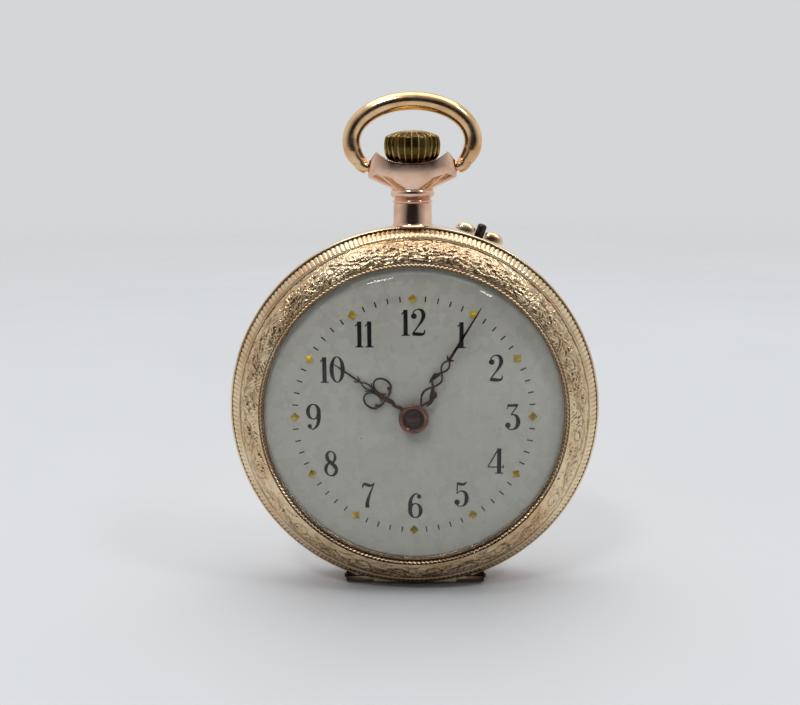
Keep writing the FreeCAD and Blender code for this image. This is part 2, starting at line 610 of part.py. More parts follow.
# ---------------------------------------------------------------- movement
TRAIN = {name: (size(f"{name}_x"), size(f"{name}_y")) for name in
         ("barrel", "third", "fourth", "escape", "balance")}
TRAIN["centre"] = (0.0, 0.0)
# foot of each bridge: centre of the foot, its radius, the bridge's back face and thickness
FEET = {
    "centre_bridge": ((8.6, 7.2), 1.5, 2.25, 0.6), "third_cock": ((10.8, 2.6), 1.35, 2.25, 0.6),
    "fourth_cock": ((10.6, -4.4), 1.35, 2.25, 0.6), "escape_cock": ((6.4, -8.6), 1.2, 3.35, 0.3),
    "balance_cock": ((-4.9, -9.0), 1.5, 1.85, 0.6),
}
BARREL_SCREWS = ((2.9, 12.2), (-3.4, 11.8), (-12.0, -1.6))
CASE_SCREWS = (polar(13.0, 100), polar(13.0, 250))
DIAL_FEET = (polar(11.6, 70), polar(11.6, 190), polar(11.6, 300))


def drilled(name, base, holes):
    """Cuts round holes (centre, radius, back, front) through a piece."""
    cutters = [rod(f"{name}_hole_{number}", str(radius), str(front - back), str(centre[0]), str(centre[1]),
                   str(back)) for number, (centre, radius, back, front) in enumerate(holes)]
    return cut_from(name, base, cutters)


def build_mainplate():
    plate = turned("plate_blank", [
        ("0", "plate_back"), ("plate_radius", "plate_back"), ("plate_radius", "dial_back"),
        ("seat_radius", "dial_back"), ("seat_radius", "plate_front"), ("0", "plate_front")])
    recesses = [
        rod("setting_recess", "3.05", "2", "0", "setting_wheel_y", "recess_floor"),
        rod("minute_recess", "1.75", "2", "0", "minute_wheel_y", "recess_floor"),
        rod("cannon_recess", "0.8", "2", "0", "0", "recess_floor"),
        block("clutch_slot", ("2.8", "1.75", "0.8"), "-1.4", "9.2", "4.5"),
        block("pinion_slot", ("3.7", "1", "1.5"), "-1.85", "11.2", "4.5")]
    bare = cut_from("plate_recessed", plate, recesses)
    posts = [rod("setting_post", "0.35", "0.55", "0", "setting_wheel_y", "recess_floor - 0.1"),
             rod("minute_post", "0.15", "1.35", "0", "minute_wheel_y", "recess_floor - 0.1")]
    whole = fused("plate_posted", [bare] + posts)
    holes = [(TRAIN["centre"], 0.32, 4, 6), (TRAIN["barrel"], 0.47, 4, 6), ((5.6, 9.9), 0.27, 4, 5.3)]
    holes += [(TRAIN[name], size("jewel_radius"), 4, 6) for name in ("third", "fourth", "escape", "balance")]
    holes += [(foot[0], 0.3, 4, 5.3) for foot in FEET.values()]
    holes += [(centre, 0.3, 4, 5.3) for centre in BARREL_SCREWS + CASE_SCREWS]
    holes += [(centre, 0.35, 5.2, 6) for centre in DIAL_FEET]
    keep(drilled("mainplate", whole, holes))


def build_bridges():
    rim = 13.2
    body = new_body("barrel_bridge_plate")
    sketch = new_sketch(body, "XY_Plane")
    left = -math.sqrt(rim ** 2 - 3.2 ** 2)
    top = math.sqrt(rim ** 2 - 6.4 ** 2)
    draw_outline(sketch, [("6.4", str(top)), (str(left), "-3.2"), ("-5.8", "-3.4"), ("-2", "-1.7"),
                          ("-1.9", "1.4"), ("1.2", "3.6"), ("4.2", "6.8")],
                 bends={0: tuple(str(place) for place in polar(rim, -30))})
    pad = body.newObject("PartDesign::Pad", "barrel_bridge_pad")
    pad.Profile = sketch
    pad.setExpression("Length", linked("bridge_front - bridge_back"))
    move_to(body, "0", "0", "bridge_back")
    feet = [rod(f"barrel_bridge_foot_{number}", "0.85", "plate_back - bridge_back", str(centre[0]),
                str(centre[1]), "bridge_back") for number, centre in enumerate(BARREL_SCREWS)]
    window = block("barrel_bridge_window", ("3.6", "3", "2"), "-1.8", "9.25", "1.5")
    whole = cut_from("barrel_bridge_open", fused("barrel_bridge_whole", [body] + feet), [window])
    holes = [(centre, 0.32, 2, 5) for centre in BARREL_SCREWS]
    holes += [(TRAIN["barrel"], 0.6, 2, 3), ((0.0, size("crown_wheel_y")), 0.35, 2, 3),
              ((-9.4, -1.9), 0.25, 2, 3), ((5.6, 9.9), 0.27, 2.6, 3)]
    keep(drilled("barrel_bridge", whole, holes))
    arms = {"centre_bridge": ("centre", 1.1, 0.32), "third_cock": ("third", 0.9, size("jewel_radius")),
            "fourth_cock": ("fourth", 0.8, size("jewel_radius")),
            "escape_cock": ("escape", 0.7, size("jewel_radius")),
            "balance_cock": ("balance", 1.5, size("jewel_radius"))}
    for name, (wheel, end_radius, hole) in arms.items():
        foot, foot_radius, back, thickness = FEET[name]
        arm = tapered_bar(foot, foot_radius, TRAIN[wheel], end_radius, back, back + thickness)
        pillar = disc(foot_radius - 0.05, back, size("plate_back"), *foot)
        cock = joined([arm, pillar]).cut(disc(hole, back - 1, back + 1, *TRAIN[wheel]))
        keep(shaped(name, cock.cut(disc(0.32, back - 1, 5, *foot))))


def slotted_screw(centre, back, head_radius, head_height, shank_end, turn):
    head = disc(head_radius, back, back + head_height)
    screw = joined([head, disc(0.3, back + head_height / 2, shank_end)])
    slot = Part.makeBox(3, 0.18, 0.12, Vector(-1.5, -0.09, back - 0.01))
    slot.rotate(Vector(0, 0, 0), Vector(0, 0, 1), turn)
    return moved(screw.cut(slot), *centre)


def build_fasteners():
    screws = [slotted_screw(foot[0], foot[2] - 0.3, 0.6, 0.3, 5.25, 37 * number)
              for number, foot in enumerate(FEET.values())]
    screws += [slotted_screw(centre, 1.95, 0.6, 0.3, 5.25, 55 + 41 * number)
               for number, centre in enumerate(BARREL_SCREWS)]
    keep(shaped("bridge_screws", Part.makeCompound(screws)))
    dogs = [slotted_screw(centre, 4.22, 0.85, 0.38, 5.25, 25 + 70 * number)
            for number, centre in enumerate(CASE_SCREWS)]
    keep(shaped("case_screws", Part.makeCompound(dogs)))
    stones = []
    for name, levels in (("third", (2.45, 4.6)), ("fourth", (2.45, 4.6)), ("escape", (3.4, 4.6)),
                         ("balance", (2.0, 4.6))):
        for back in levels:
            stone = disc(size("jewel_radius"), back, back + 0.25)
            stone = stone.cut(disc(size("pivot_hole"), back - 1, back + 1))
            stones.append(moved(stone, *TRAIN[name]))
    keep(shaped("train_jewels", Part.makeCompound(stones)))
    cap = joined([disc(0.85, 1.6, 1.85), disc(0.35, 1.5, 1.65)])
    keep(shaped("balance_cap_jewel", moved(cap, *TRAIN["balance"])))
    stud = joined([disc(0.22, 2.45, 2.8, 2.05, 0)])
    stud.rotate(Vector(0, 0, 0), Vector(0, 0, 1), bearing(TRAIN["balance"], FEET["balance_cock"][0]) + 20)
    keep(shaped("hairspring_stud", moved(stud, *TRAIN["balance"])))


def spiral_ribbon(inner, outer, turns, width, back, front):
    """A flat coil of ribbon."""
    steps = int(turns * 28)
    inner_side, outer_side = [], []
    for number in range(steps + 1):
        angle = 2 * math.pi * turns * number / steps
        radius = inner + (outer - inner) * number / steps
        inner_side.append(((radius - width / 2) * math.cos(angle), (radius - width / 2) * math.sin(angle)))
        outer_side.append(((radius + width / 2) * math.cos(angle), (radius + width / 2) * math.sin(angle)))
    return slab(inner_side + outer_side[::-1], back, front)


def build_train():
    wheel_share, pinion_share = size("wheel_tooth"), size("pinion_tooth")
    barrel, centre, third = TRAIN["barrel"], TRAIN["centre"], TRAIN["third"]
    fourth, escape = TRAIN["fourth"], TRAIN["escape"]

    def wheel_pair(driver, driven, teeth, leaves, module, wheel_levels, leaf_levels):
        """A wheel on the driver's axis and the pinion it meshes with on the driven axis."""
        line = bearing(driver, driven)
        wheel = toothed(teeth, module, wheel_share, *wheel_levels, phase=line)
        pinion = toothed(leaves, module, pinion_share, *leaf_levels, phase=line + 180 + 180 / leaves)
        return wheel, pinion

    drum_teeth, centre_leaves = wheel_pair(
        barrel, centre, 80, 10, size("barrel_module"), (4.2, 4.5), (4.15, 4.55))
    drum = joined([disc(5.3, 3.65, 4.5), drum_teeth])
    drum = drum.cut(disc(5.05, 3.6, 4.2)).cut(disc(0.47, 3, 5))
    drum = drum.cut(disc(5.15, 3.6, 3.8))
    keep(shaped("barrel_drum", moved(drum, *barrel)))
    lid = disc(5.15, 3.65, 3.8).cut(disc(0.6, 3, 5))
    keep(shaped("barrel_lid", moved(lid, *barrel)))
    keep(shaped("mainspring", moved(spiral_ribbon(1.1, 4.85, 7, 0.12, 3.84, 4.16), *barrel)))

    centre_blank, third_leaves = wheel_pair(
        centre, third, 64, 8, size("centre_module"), (3.4, 3.55), (3.3, 3.65))
    centre_wheel = spoked(centre_blank, 3.15, 0.95, 4, 0.5, 3.4, 3.55, phase=20).cut(disc(0.4, 3, 4))
    keep(shaped("centre_wheel", centre_wheel))
    centre_arbor = joined([centre_leaves, disc(0.3, 2.3, 5.0), disc(0.4, 2.9, 4.2), disc(0.22, 5.0, 7.4)])
    keep(shaped("centre_pinion", centre_arbor))

    third_blank, fourth_leaves = wheel_pair(
        third, fourth, 60, 8, size("third_module"), (4.05, 4.2), (4.0, 4.4))
    third_wheel = spoked(third_blank, 2.5, 0.65, 4, 0.4, 4.05, 4.2, phase=50).cut(disc(0.2, 3, 5))
    keep(shaped("third_wheel", moved(third_wheel, *third)))
    pivot, arbor = size("pivot"), size("arbor")
    third_arbor = joined([third_leaves, disc(arbor, 2.95, 4.5), disc(pivot, 2.4, 4.9)])
    keep(shaped("third_pinion", moved(third_arbor, *third)))

    fourth_blank, escape_leaves = wheel_pair(
        fourth, escape, 60, 6, size("fourth_module"), (3.8, 3.95), (3.7, 4.1))
    fourth_wheel = spoked(fourth_blank, 2.4, 0.65, 4, 0.4, 3.8, 3.95, phase=10).cut(disc(0.2, 3, 5))
    keep(shaped("fourth_wheel", moved(fourth_wheel, *fourth)))
    fourth_arbor = joined([fourth_leaves, disc(arbor, 2.95, 4.5), disc(pivot, 2.4, 4.9)])
    keep(shaped("fourth_pinion", moved(fourth_arbor, *fourth)))

    escape_blank = toothed(15, 0.235, 0.35, 4.25, 4.45)
    escape_wheel = spoked(escape_blank, 1.3, 0.45, 3, 0.3, 4.25, 4.45).cut(disc(0.15, 4, 5))
    keep(shaped("escape_wheel", moved(escape_wheel, *escape)))
    escape_arbor = joined([escape_leaves, disc(0.15, 3.7, 4.5), disc(pivot, 3.4, 4.9)])
    keep(shaped("escape_pinion", moved(escape_arbor, *escape)))


def build_balance():
    centre = TRAIN["balance"]
    rim = size("balance_radius")
    wheel = spoked(disc(rim, 2.95, 3.25), rim - size("balance_rim"), 0.55, 3, 0.42, 2.95, 3.25, phase=35)
    keep(shaped("balance_wheel", moved(wheel.cut(disc(0.2, 2, 4)), *centre)))
    staff = joined([disc(0.08, 1.9, 4.9), disc(0.2, 2.5, 3.5), disc(0.17, 3.4, 4.5), disc(0.35, 2.76, 2.95)])
    keep(shaped("balance_staff", moved(staff, *centre)))
    spring = joined([spiral_ribbon(0.42, 1.75, 7, 0.05, 2.6, 2.72),
                     disc(0.42, 2.55, 2.75).cut(disc(0.2, 2, 3))])
    keep(shaped("hairspring", moved(spring, *centre)))
    index = joined([disc(1.35, 1.62, 1.8), tapered_bar((0, 0), 0.5, (3.6, 0), 0.12, 1.62, 1.8),
                    tapered_bar((0, 0), 0.5, (-1.9, 0), 0.25, 1.62, 1.8)]).cut(disc(0.87, 1, 2))
    index.rotate(Vector(0, 0, 0), Vector(0, 0, 1), bearing(FEET["balance_cock"][0], centre) - 55)
    keep(shaped("regulator_index", moved(index, *centre)))


def build_motion_work():
    module, wheel_share, pinion_share = size("motion_module"), size("wheel_tooth"), size("pinion_tooth")
    top = size("minute_hand_level") + size("hand_thickness")
    leaves = toothed(10, module, pinion_share, 5.1, 5.4, phase=90)
    cannon = joined([leaves, disc(0.38, 5.05, top)]).cut(disc(0.24, 5, 8))
    keep(shaped("cannon_pinion", cannon))
    up_minute = size("minute_wheel_y")
    wheel = toothed(30, module, wheel_share, 5.1, 5.35, phase=276)
    pinion = toothed(8, module, pinion_share, 5.3, 6.2, phase=270)
    keep(shaped("minute_wheel", moved(joined([wheel, pinion]).cut(disc(0.17, 5, 7)), 0, up_minute)))
    setting = toothed(56, module, wheel_share, 5.0, 5.25, phase=270, bore=0.37)
    keep(shaped("setting_wheel", moved(setting, 0, size("setting_wheel_y"))))
    hour = toothed(32, module, wheel_share, 5.9, 6.1, phase=90 + 180 / 32)
    pipe_top = size("hour_hand_level") + size("hand_thickness")
    hour = joined([hour, disc(0.62, 5.85, pipe_top)]).cut(disc(0.42, 5, 8))
    keep(shaped("hour_wheel", hour))


# ---------------------------------------------------------------- dial and hands
def build_dial():
    plate = turned("dial_plate", [("dial_hole", "dial_back"), ("dial_radius", "dial_back"),
                                  ("dial_radius", "dial_face"), ("dial_hole", "dial_face")])
    feet = [rod(f"dial_foot_{number}", "0.33", "1.2", str(centre[0]), str(centre[1]), "dial_back - 1.15")
            for number, centre in enumerate(DIAL_FEET)]
    keep(fused("dial", [plate] + feet))
    face = size("dial_face")
    half = size("marker_side") / math.sqrt(2)
    studs = []
    for hour in range(12):
        across, upward = polar(size("marker_ring"), 30 * hour)
        corners = ((1, 0), (0, 1), (-1, 0), (0, -1))
        base = [Vector(half * across, half * upward, 0) for across, upward in corners]
        peak = Vector(0, 0, size("marker_rise"))
        sides = [Part.Face(Part.makePolygon([base[k], base[(k + 1) % 4], peak, base[k]])) for k in range(4)]
        floor = Part.Face(Part.makePolygon(base + [base[0]]))
        stud = Part.makeSolid(Part.makeShell(sides + [floor]))
        stud.rotate(Vector(0, 0, 0), Vector(0, 0, 1), -30 * hour)
        stud.translate(Vector(across, upward, face))
        studs.append(stud)
    keep(shaped("hour_markers", Part.makeCompound(studs)))


def ring(across, upward, outer, inner, level):
    front = level + size("hand_thickness")
    return disc(outer, level, front, across, upward).cut(disc(inner, level - 1, front + 1, across, upward))


def strip(start, start_width, end, end_width, level):
    """A flat tapered strip along the hand."""
    run = at(*end) - at(*start)
    side = Vector(-run.y, run.x, 0).normalize()
    corners = [at(*start) + side * (start_width / 2), at(*start) - side * (start_width / 2),
               at(*end) - side * (end_width / 2), at(*end) + side * (end_width / 2)]
    return slab([(corner.x, corner.y) for corner in corners], level, level + size("hand_thickness"))


def turned_to(shape, clock_angle):
    shape.rotate(Vector(0, 0, 0), Vector(0, 0, 1), -clock_angle)
    return shape


def build_hands():
    level = size("hour_hand_level")
    pieces_of_hand = [ring(0, 0, 1.1, 0.62, level), strip((0, 0.9), 0.5, (0, 3.7), 0.3, level)]
    for side in (1, -1):
        pieces_of_hand.append(ring(0.72 * side, 3.95, 0.82, 0.58, level))
        pieces_of_hand.append(strip((0, 4.1), 0.24, (0.42 * side, 5.35), 0.2, level))
        pieces_of_hand.append(strip((0.42 * side, 5.3), 0.2, (0, 6.3), 0.18, level))
    pieces_of_hand.append(strip((0, 6.1), 0.34, (0, size("hour_reach")), 0.08, level))
    keep(shaped("hour_hand", turned_to(joined(pieces_of_hand), size("hour_angle"))))
    level = size("minute_hand_level")
    pieces_of_hand = [ring(0, 0, 1.0, 0.38, level), strip((0, 0.9), 0.42, (0, 1.6), 0.3, level)]
    for upward, radius in ((1.95, 0.56), (3.0, 0.47), (3.88, 0.39)):
        for side in (1, -1):
            pieces_of_hand.append(ring(0.78 * radius * side, upward, radius, radius - 0.2, level))
    pieces_of_hand += [strip((0, 1.2), 0.2, (0, 5.2), 0.2, level),
                       strip((-0.5, 5.7), 0.16, (0.5, 5.7), 0.16, level),
                       strip((0, 4.2), 0.4, (0, size("minute_reach")), 0.07, level)]
    keep(shaped("minute_hand", turned_to(joined(pieces_of_hand), size("minute_angle"))))
    base = level + size("hand_thickness")
    reach, rise = size("boss_radius"), 0.38
    dome_radius = (reach ** 2 + rise ** 2) / (2 * rise)
    ball = Part.makeSphere(dome_radius, Vector(0, 0, base + rise - dome_radius))
    keep(shaped("hand_boss", ball.common(disc(reach, base, base + 1))))


for build in (build_band, build_hinge_pins, build_bezel, build_crystal, build_back_cover, build_dust_cover,
              build_pendant, build_bow, build_crown, build_stem, build_winding_train, build_set_pin,
              build_mainplate, build_bridges, build_fasteners, build_train, build_balance,
              build_motion_work, build_dial, build_hands):
    build()

doc.recompute()
for item in doc.Objects:
    if "Invalid" in item.State or "Error" in item.State:
        raise RuntimeError(f"{item.Label} failed: {item.State}")
for label, piece in pieces.items():
    if piece.Shape.isNull() or not piece.Shape.isValid():
        raise RuntimeError(f"{label} has no valid shape")

os.makedirs("parts", exist_ok=True)
for label, piece in pieces.items():
    piece.Shape.exportStep(f"parts/{label}.step")
    print(f"{label}: {len(piece.Shape.Solids)} solid(s), {piece.Shape.Volume:.3f} mm3")
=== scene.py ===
import math
import bpy
import bmesh
import numpy as np
from mathutils import Matrix, Vector

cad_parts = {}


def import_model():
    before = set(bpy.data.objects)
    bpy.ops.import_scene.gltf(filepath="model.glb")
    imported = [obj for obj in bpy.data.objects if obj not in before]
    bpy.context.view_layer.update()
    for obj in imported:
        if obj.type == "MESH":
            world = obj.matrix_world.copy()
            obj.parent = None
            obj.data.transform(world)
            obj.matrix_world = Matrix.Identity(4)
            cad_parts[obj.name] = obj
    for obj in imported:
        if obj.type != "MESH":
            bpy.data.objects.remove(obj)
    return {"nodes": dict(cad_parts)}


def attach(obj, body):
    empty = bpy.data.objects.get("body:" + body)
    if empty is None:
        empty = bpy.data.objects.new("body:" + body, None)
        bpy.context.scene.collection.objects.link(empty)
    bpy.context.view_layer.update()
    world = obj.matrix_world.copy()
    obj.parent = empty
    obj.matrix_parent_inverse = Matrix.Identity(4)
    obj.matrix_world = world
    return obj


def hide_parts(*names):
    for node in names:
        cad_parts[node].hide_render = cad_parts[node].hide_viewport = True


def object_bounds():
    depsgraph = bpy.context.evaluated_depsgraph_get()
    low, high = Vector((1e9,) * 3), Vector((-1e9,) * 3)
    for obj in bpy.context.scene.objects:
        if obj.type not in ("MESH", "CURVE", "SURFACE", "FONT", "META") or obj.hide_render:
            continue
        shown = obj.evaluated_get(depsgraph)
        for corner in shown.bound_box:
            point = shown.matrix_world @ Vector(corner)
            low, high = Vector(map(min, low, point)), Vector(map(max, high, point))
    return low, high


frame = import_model()
cad_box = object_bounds()
TAU = 2 * math.pi
STEM_Z = 3.9  # height of the winding stem, pendant, crown and bow

# Shapes are drawn lying on their back in millimetres: X to 3 o'clock, Y to 12 o'clock, Z to the viewer.


# --- materials
def rgb(red, green, blue):
    """sRGB 0-255 to the linear values that a shader socket takes."""
    def linear(value):
        value /= 255
        return value / 12.92 if value <= 0.04045 else ((value + 0.055) / 1.055) ** 2.4
    return (linear(red), linear(green), linear(blue), 1)


def set_inputs(node, constant):
    for socket, value in constant.items():
        node.inputs[socket.replace("_", " ")].default_value = value
    return node


def new_material(name, **constant):
    material = bpy.data.materials.new(name)
    material.use_nodes = True
    shader = set_inputs(material.node_tree.nodes["Principled BSDF"], constant)
    return material, material.node_tree.nodes, material.node_tree.links, shader


def add_node(nodes, kind, **constant):
    return set_inputs(nodes.new("ShaderNode" + kind), constant)


def object_coords(nodes):
    return nodes.new("ShaderNodeTexCoord").outputs["Object"]


def noise(nodes, links, coords, scale, detail):
    node = add_node(nodes, "TexNoise", Scale=scale, Detail=detail, Roughness=0.6)
    links.new(coords, node.inputs["Vector"])
    return node.outputs["Fac"]


def ramp(nodes, links, factor, stops):
    node = nodes.new("ShaderNodeValToRGB")
    node.color_ramp.elements[0].position = stops[0][0]
    node.color_ramp.elements[0].color = stops[0][1]
    node.color_ramp.elements[1].position = stops[-1][0]
    node.color_ramp.elements[1].color = stops[-1][1]
    for position, colour in stops[1:-1]:
        node.color_ramp.elements.new(position).color = colour
    links.new(factor, node.inputs["Fac"])
    return node.outputs["Color"]


def spread(nodes, links, factor, low, high, start=0.3, end=0.7):
    """Maps start..end to low..high; a noise stays mostly within 0.3 to 0.7."""
    node = add_node(nodes, "MapRange", From_Min=start, From_Max=end, To_Min=low, To_Max=high)
    links.new(factor, node.inputs["Value"])
    return node.outputs["Result"]


def relief(nodes, links, shader, height, strength, distance):
    """Fine bump in metres, on top of the modelled shape."""
    bump = add_node(nodes, "Bump", Strength=strength, Distance=distance)
    links.new(height, bump.inputs["Height"])
    links.new(bump.outputs["Normal"], shader.inputs["Normal"])


def see_through(nodes, links, shader, share, tint):
    """Mixes plain transparency into the surface by a share."""
    clear = add_node(nodes, "BsdfTransparent", Color=tint)
    mix = nodes.new("ShaderNodeMixShader")
    links.new(share, mix.inputs["Fac"])
    links.new(shader.outputs["BSDF"], mix.inputs[1])
    links.new(clear.outputs["BSDF"], mix.inputs[2])
    links.new(mix.outputs["Shader"], nodes["Material Output"].inputs["Surface"])


def mixed_colour(nodes, links, share, first, second):
    """Mixes a plain second colour into the first by a share."""
    mix = nodes.new("ShaderNodeMix")
    mix.data_type = "RGBA"
    mix.inputs["B"].default_value = second
    links.new(share, mix.inputs["Factor"])
    links.new(first, mix.inputs["A"])
    return mix.outputs["Result"]


def metal(name, light, dark, rough, patch, grain, bump, cut=None, scratch=0.0):
    """Worn metal: two sRGB tones in soft patches, uneven gloss and a fine grain; cut darkens what "cut" marks, which
    is engraved patina and, on some pieces, painted shade.
    """
    material, nodes, links, shader = new_material(name, Metallic=1.0)
    placed = object_coords(nodes)
    blotch = noise(nodes, links, placed, patch, 3)
    colour = ramp(nodes, links, blotch, [(0.35, rgb(*dark)), (0.62, rgb(*light))])
    if cut is not None:
        mark = nodes.new("ShaderNodeAttribute")
        mark.attribute_name = "cut"
        colour = mixed_colour(nodes, links, mark.outputs["Fac"], colour, rgb(*cut))
    links.new(colour, shader.inputs["Base Color"])
    uneven = noise(nodes, links, placed, patch * 3, 4)
    links.new(spread(nodes, links, uneven, *rough), shader.inputs["Roughness"])
    fine = noise(nodes, links, placed, grain, 3)
    height = fine
    if scratch:
        lines = noise(nodes, links, placed, grain * 0.3, 2)
        both = nodes.new("ShaderNodeMath")
        both.operation = "MULTIPLY_ADD"
        both.inputs[1].default_value = scratch
        links.new(lines, both.inputs[0])
        links.new(fine, both.inputs[2])
        height = both.outputs[0]
    relief(nodes, links, shader, height, bump, 0.00003)
    return material


def enamel_material():
    material, nodes, links, shader = new_material("dial_enamel", IOR=1.5, Coat_Weight=0.4, Coat_Roughness=0.08)
    coords = object_coords(nodes)
    cloud = noise(nodes, links, coords, 120, 5)
    links.new(ramp(nodes, links, cloud, [(0.3, rgb(168, 166, 155)), (0.5, rgb(172, 170, 160)),
                                         (0.75, rgb(176, 174, 165))]), shader.inputs["Base Color"])
    links.new(spread(nodes, links, noise(nodes, links, coords, 900, 3), 0.22, 0.34), shader.inputs["Roughness"])
    relief(nodes, links, shader, noise(nodes, links, coords, 1500, 2), 0.05, 0.00002)
    return material


def ink_material(name, dark, light, rough=0.35):
    material, nodes, links, shader = new_material(name, IOR=1.35)
    coords = object_coords(nodes)
    wear = noise(nodes, links, coords, 5000, 3)
    links.new(ramp(nodes, links, wear, [(0.3, dark), (0.75, light)]), shader.inputs["Base Color"])
    links.new(spread(nodes, links, wear, rough - 0.05, rough + 0.1), shader.inputs["Roughness"])
    return material


def glass_material():
    material, nodes, links, shader = new_material("crystal_glass", Roughness=0.01, IOR=1.31, Transmission_Weight=1.0,
                                                  Base_Color=(0.985, 0.99, 0.99, 1))
    shadow = nodes.new("ShaderNodeLightPath").outputs["Is Shadow Ray"]
    see_through(nodes, links, shader, shadow, (0.93, 0.94, 0.94, 1))
    coords = object_coords(nodes)
    relief(nodes, links, shader, noise(nodes, links, coords, 300, 2), 0.02, 0.00001)
    return material


def ruby_material():
    material, nodes, links, shader = new_material("jewel_ruby", IOR=1.76, Coat_Weight=0.6)
    coords = object_coords(nodes)
    tint = noise(nodes, links, coords, 1500, 3)
    links.new(ramp(nodes, links, tint, [(0.3, rgb(112, 8, 30)), (0.7, rgb(186, 34, 62))]),
              shader.inputs["Base Color"])
    links.new(spread(nodes, links, tint, 0.06, 0.14), shader.inputs["Roughness"])
    return material


MAT = {
    "champagne_gold": metal("bezel_gold", (244, 221, 182), (220, 186, 145), (0.16, 0.32), 260, 6000, 0.28,
                            cut=(70, 42, 26), scratch=0.8),
    "rose_gold": metal("rose_gold", (238, 202, 178), (212, 168, 140), (0.08, 0.18), 300, 7000, 0.04,
                       cut=(40, 22, 14)),
    "back_gold": metal("back_gold", (236, 196, 160), (214, 162, 126), (0.16, 0.30), 200, 6000, 0.08,
                       cut=(120, 76, 48)),
    "yellow_gold": metal("yellow_gold", (238, 202, 158), (206, 160, 112), (0.12, 0.26), 350, 7000, 0.05),
    "marker_gold": metal("marker_gold", (206, 176, 72), (146, 120, 34), (0.25, 0.4), 1500, 9000, 0.1),
    "polished_gilt": metal("polished_gilt", (244, 212, 150), (226, 186, 120), (0.08, 0.18), 250, 5000, 0.03),
    "crown_brass": metal("crown_brass", (222, 194, 124), (166, 136, 70), (0.16, 0.32), 900, 9000, 0.12,
                         cut=(58, 42, 12)),
    "glass": glass_material(),
    "enamel": enamel_material(),
    "hand_copper": metal("hand_copper", (76, 46, 33), (28, 17, 12), (0.22, 0.38), 900, 9000, 0.15),
    "boss_copper": metal("boss_copper", (146, 92, 70), (88, 48, 34), (0.12, 0.24), 900, 9000, 0.1,
                         cut=(26, 14, 10)),
    "gilt_plate": metal("gilt_plate", (226, 190, 122), (200, 158, 92), (0.36, 0.5), 300, 14000, 0.3),
    "train_brass": metal("train_brass", (232, 196, 112), (206, 164, 82), (0.2, 0.34), 500, 9000, 0.1),
    "polished_steel": metal("polished_steel", (206, 206, 208), (176, 176, 180), (0.12, 0.26), 400, 9000, 0.05),
    "blued_steel": metal("blued_steel", (52, 72, 150), (26, 34, 86), (0.16, 0.28), 500, 9000, 0.05),
    "dark_steel": metal("dark_steel", (84, 76, 66), (44, 38, 32), (0.25, 0.4), 700, 9000, 0.1),
    "ruby": ruby_material(),
    "ink": ink_material("dial_ink", rgb(4, 5, 7), rgb(14, 15, 18), 0.5),
    "hairline": ink_material("enamel_hairline", rgb(160, 172, 168), rgb(170, 178, 172), 0.3),
    "speck": ink_material("enamel_speck", rgb(60, 60, 56), rgb(110, 108, 100), 0.4),
}


# --- mesh helpers
def to_world(points):
    points = np.asarray(points, float)
    return np.stack([points[..., 0], -points[..., 2], points[..., 1]], -1) * 0.001


def add_object(name, data):
    made = bpy.data.objects.new(name, data)
    bpy.context.scene.collection.objects.link(made)
    return made


def piece(name, points, faces, material, body, slot, instead=(), cut=None, sharp=None, weld=False):
    mesh = bpy.data.meshes.new(name)
    mesh.from_pydata(to_world(points).reshape(-1, 3).tolist(), [], faces)
    if cut is not None:
        mesh.attributes.new("cut", "FLOAT", "POINT").data.foreach_set(
            "value", np.asarray(cut, np.float32).reshape(-1))
    if weld:
        tidy = bmesh.new()
        tidy.from_mesh(mesh)
        bmesh.ops.remove_doubles(tidy, verts=tidy.verts, dist=2e-8)
        bmesh.ops.dissolve_degenerate(tidy, edges=tidy.edges, dist=1e-8)
        tidy.to_mesh(mesh)
        tidy.free()
    mesh.polygons.foreach_set("use_smooth", [True] * len(mesh.polygons))
    if sharp:
        mesh.set_sharp_from_angle(angle=math.radians(sharp))
    mesh.update()
    made = add_object(name, mesh)
    mesh.materials.append(MAT[material])
    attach(made, body)
    if instead:
        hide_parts(*instead)
    return made


def net(rows, columns, wrap_rows=False, wrap_columns=False):
    """Quads over a grid of points stored row by row."""
    faces = []
    for row in range(rows if wrap_rows else rows - 1):
        after = (row + 1) % rows
        for column in range(columns if wrap_columns else columns - 1):
            beside = (column + 1) % columns
            faces.append((row * columns + column, after * columns + column,
                          after * columns + beside, row * columns + beside))
    return faces


def arc(start, middle, end, count):
    """Points along the circle through three points, both ends included."""
    (ax, ay), (bx, by), (cx, cy) = start, middle, end
    d = 2 * (ax * (by - cy) + bx * (cy - ay) + cx * (ay - by))
    ux = ((ax * ax + ay * ay) * (by - cy) + (bx * bx + by * by) * (cy - ay) + (cx * cx + cy * cy) * (ay - by)) / d
    uy = ((ax * ax + ay * ay) * (cx - bx) + (bx * bx + by * by) * (ax - cx) + (cx * cx + cy * cy) * (bx - ax)) / d
    radius = math.hypot(ax - ux, ay - uy)
    first, mid, last = (math.atan2(y - uy, x - ux) for x, y in (start, middle, end))
    turn = (last - first) % TAU
    if (mid - first) % TAU > turn:
        turn -= TAU
    angles = first + turn * np.linspace(0, 1, count)
    return [(ux + radius * math.cos(a), uy + radius * math.sin(a)) for a in angles]


def whole_turn(count):
    return np.arange(count) * TAU / count


def spun(radius, height, about_stem=False):
    """Points of a turned surface; radius and height are (around, along) arrays."""
    turn = whole_turn(radius.shape[0])[:, None]
    if about_stem:
        return np.stack([radius * np.cos(turn), height, STEM_Z - radius * np.sin(turn)], -1)
    return np.stack([radius * np.cos(turn), radius * np.sin(turn), height], -1)


def lathe(profile, around, about_stem=False):
    """Points of a plain turned surface; profile is (radius, height) along its outline."""
    profile = np.asarray(profile, float)
    return spun(np.tile(profile[:, 0], (around, 1)), np.tile(profile[:, 1], (around, 1)), about_stem)


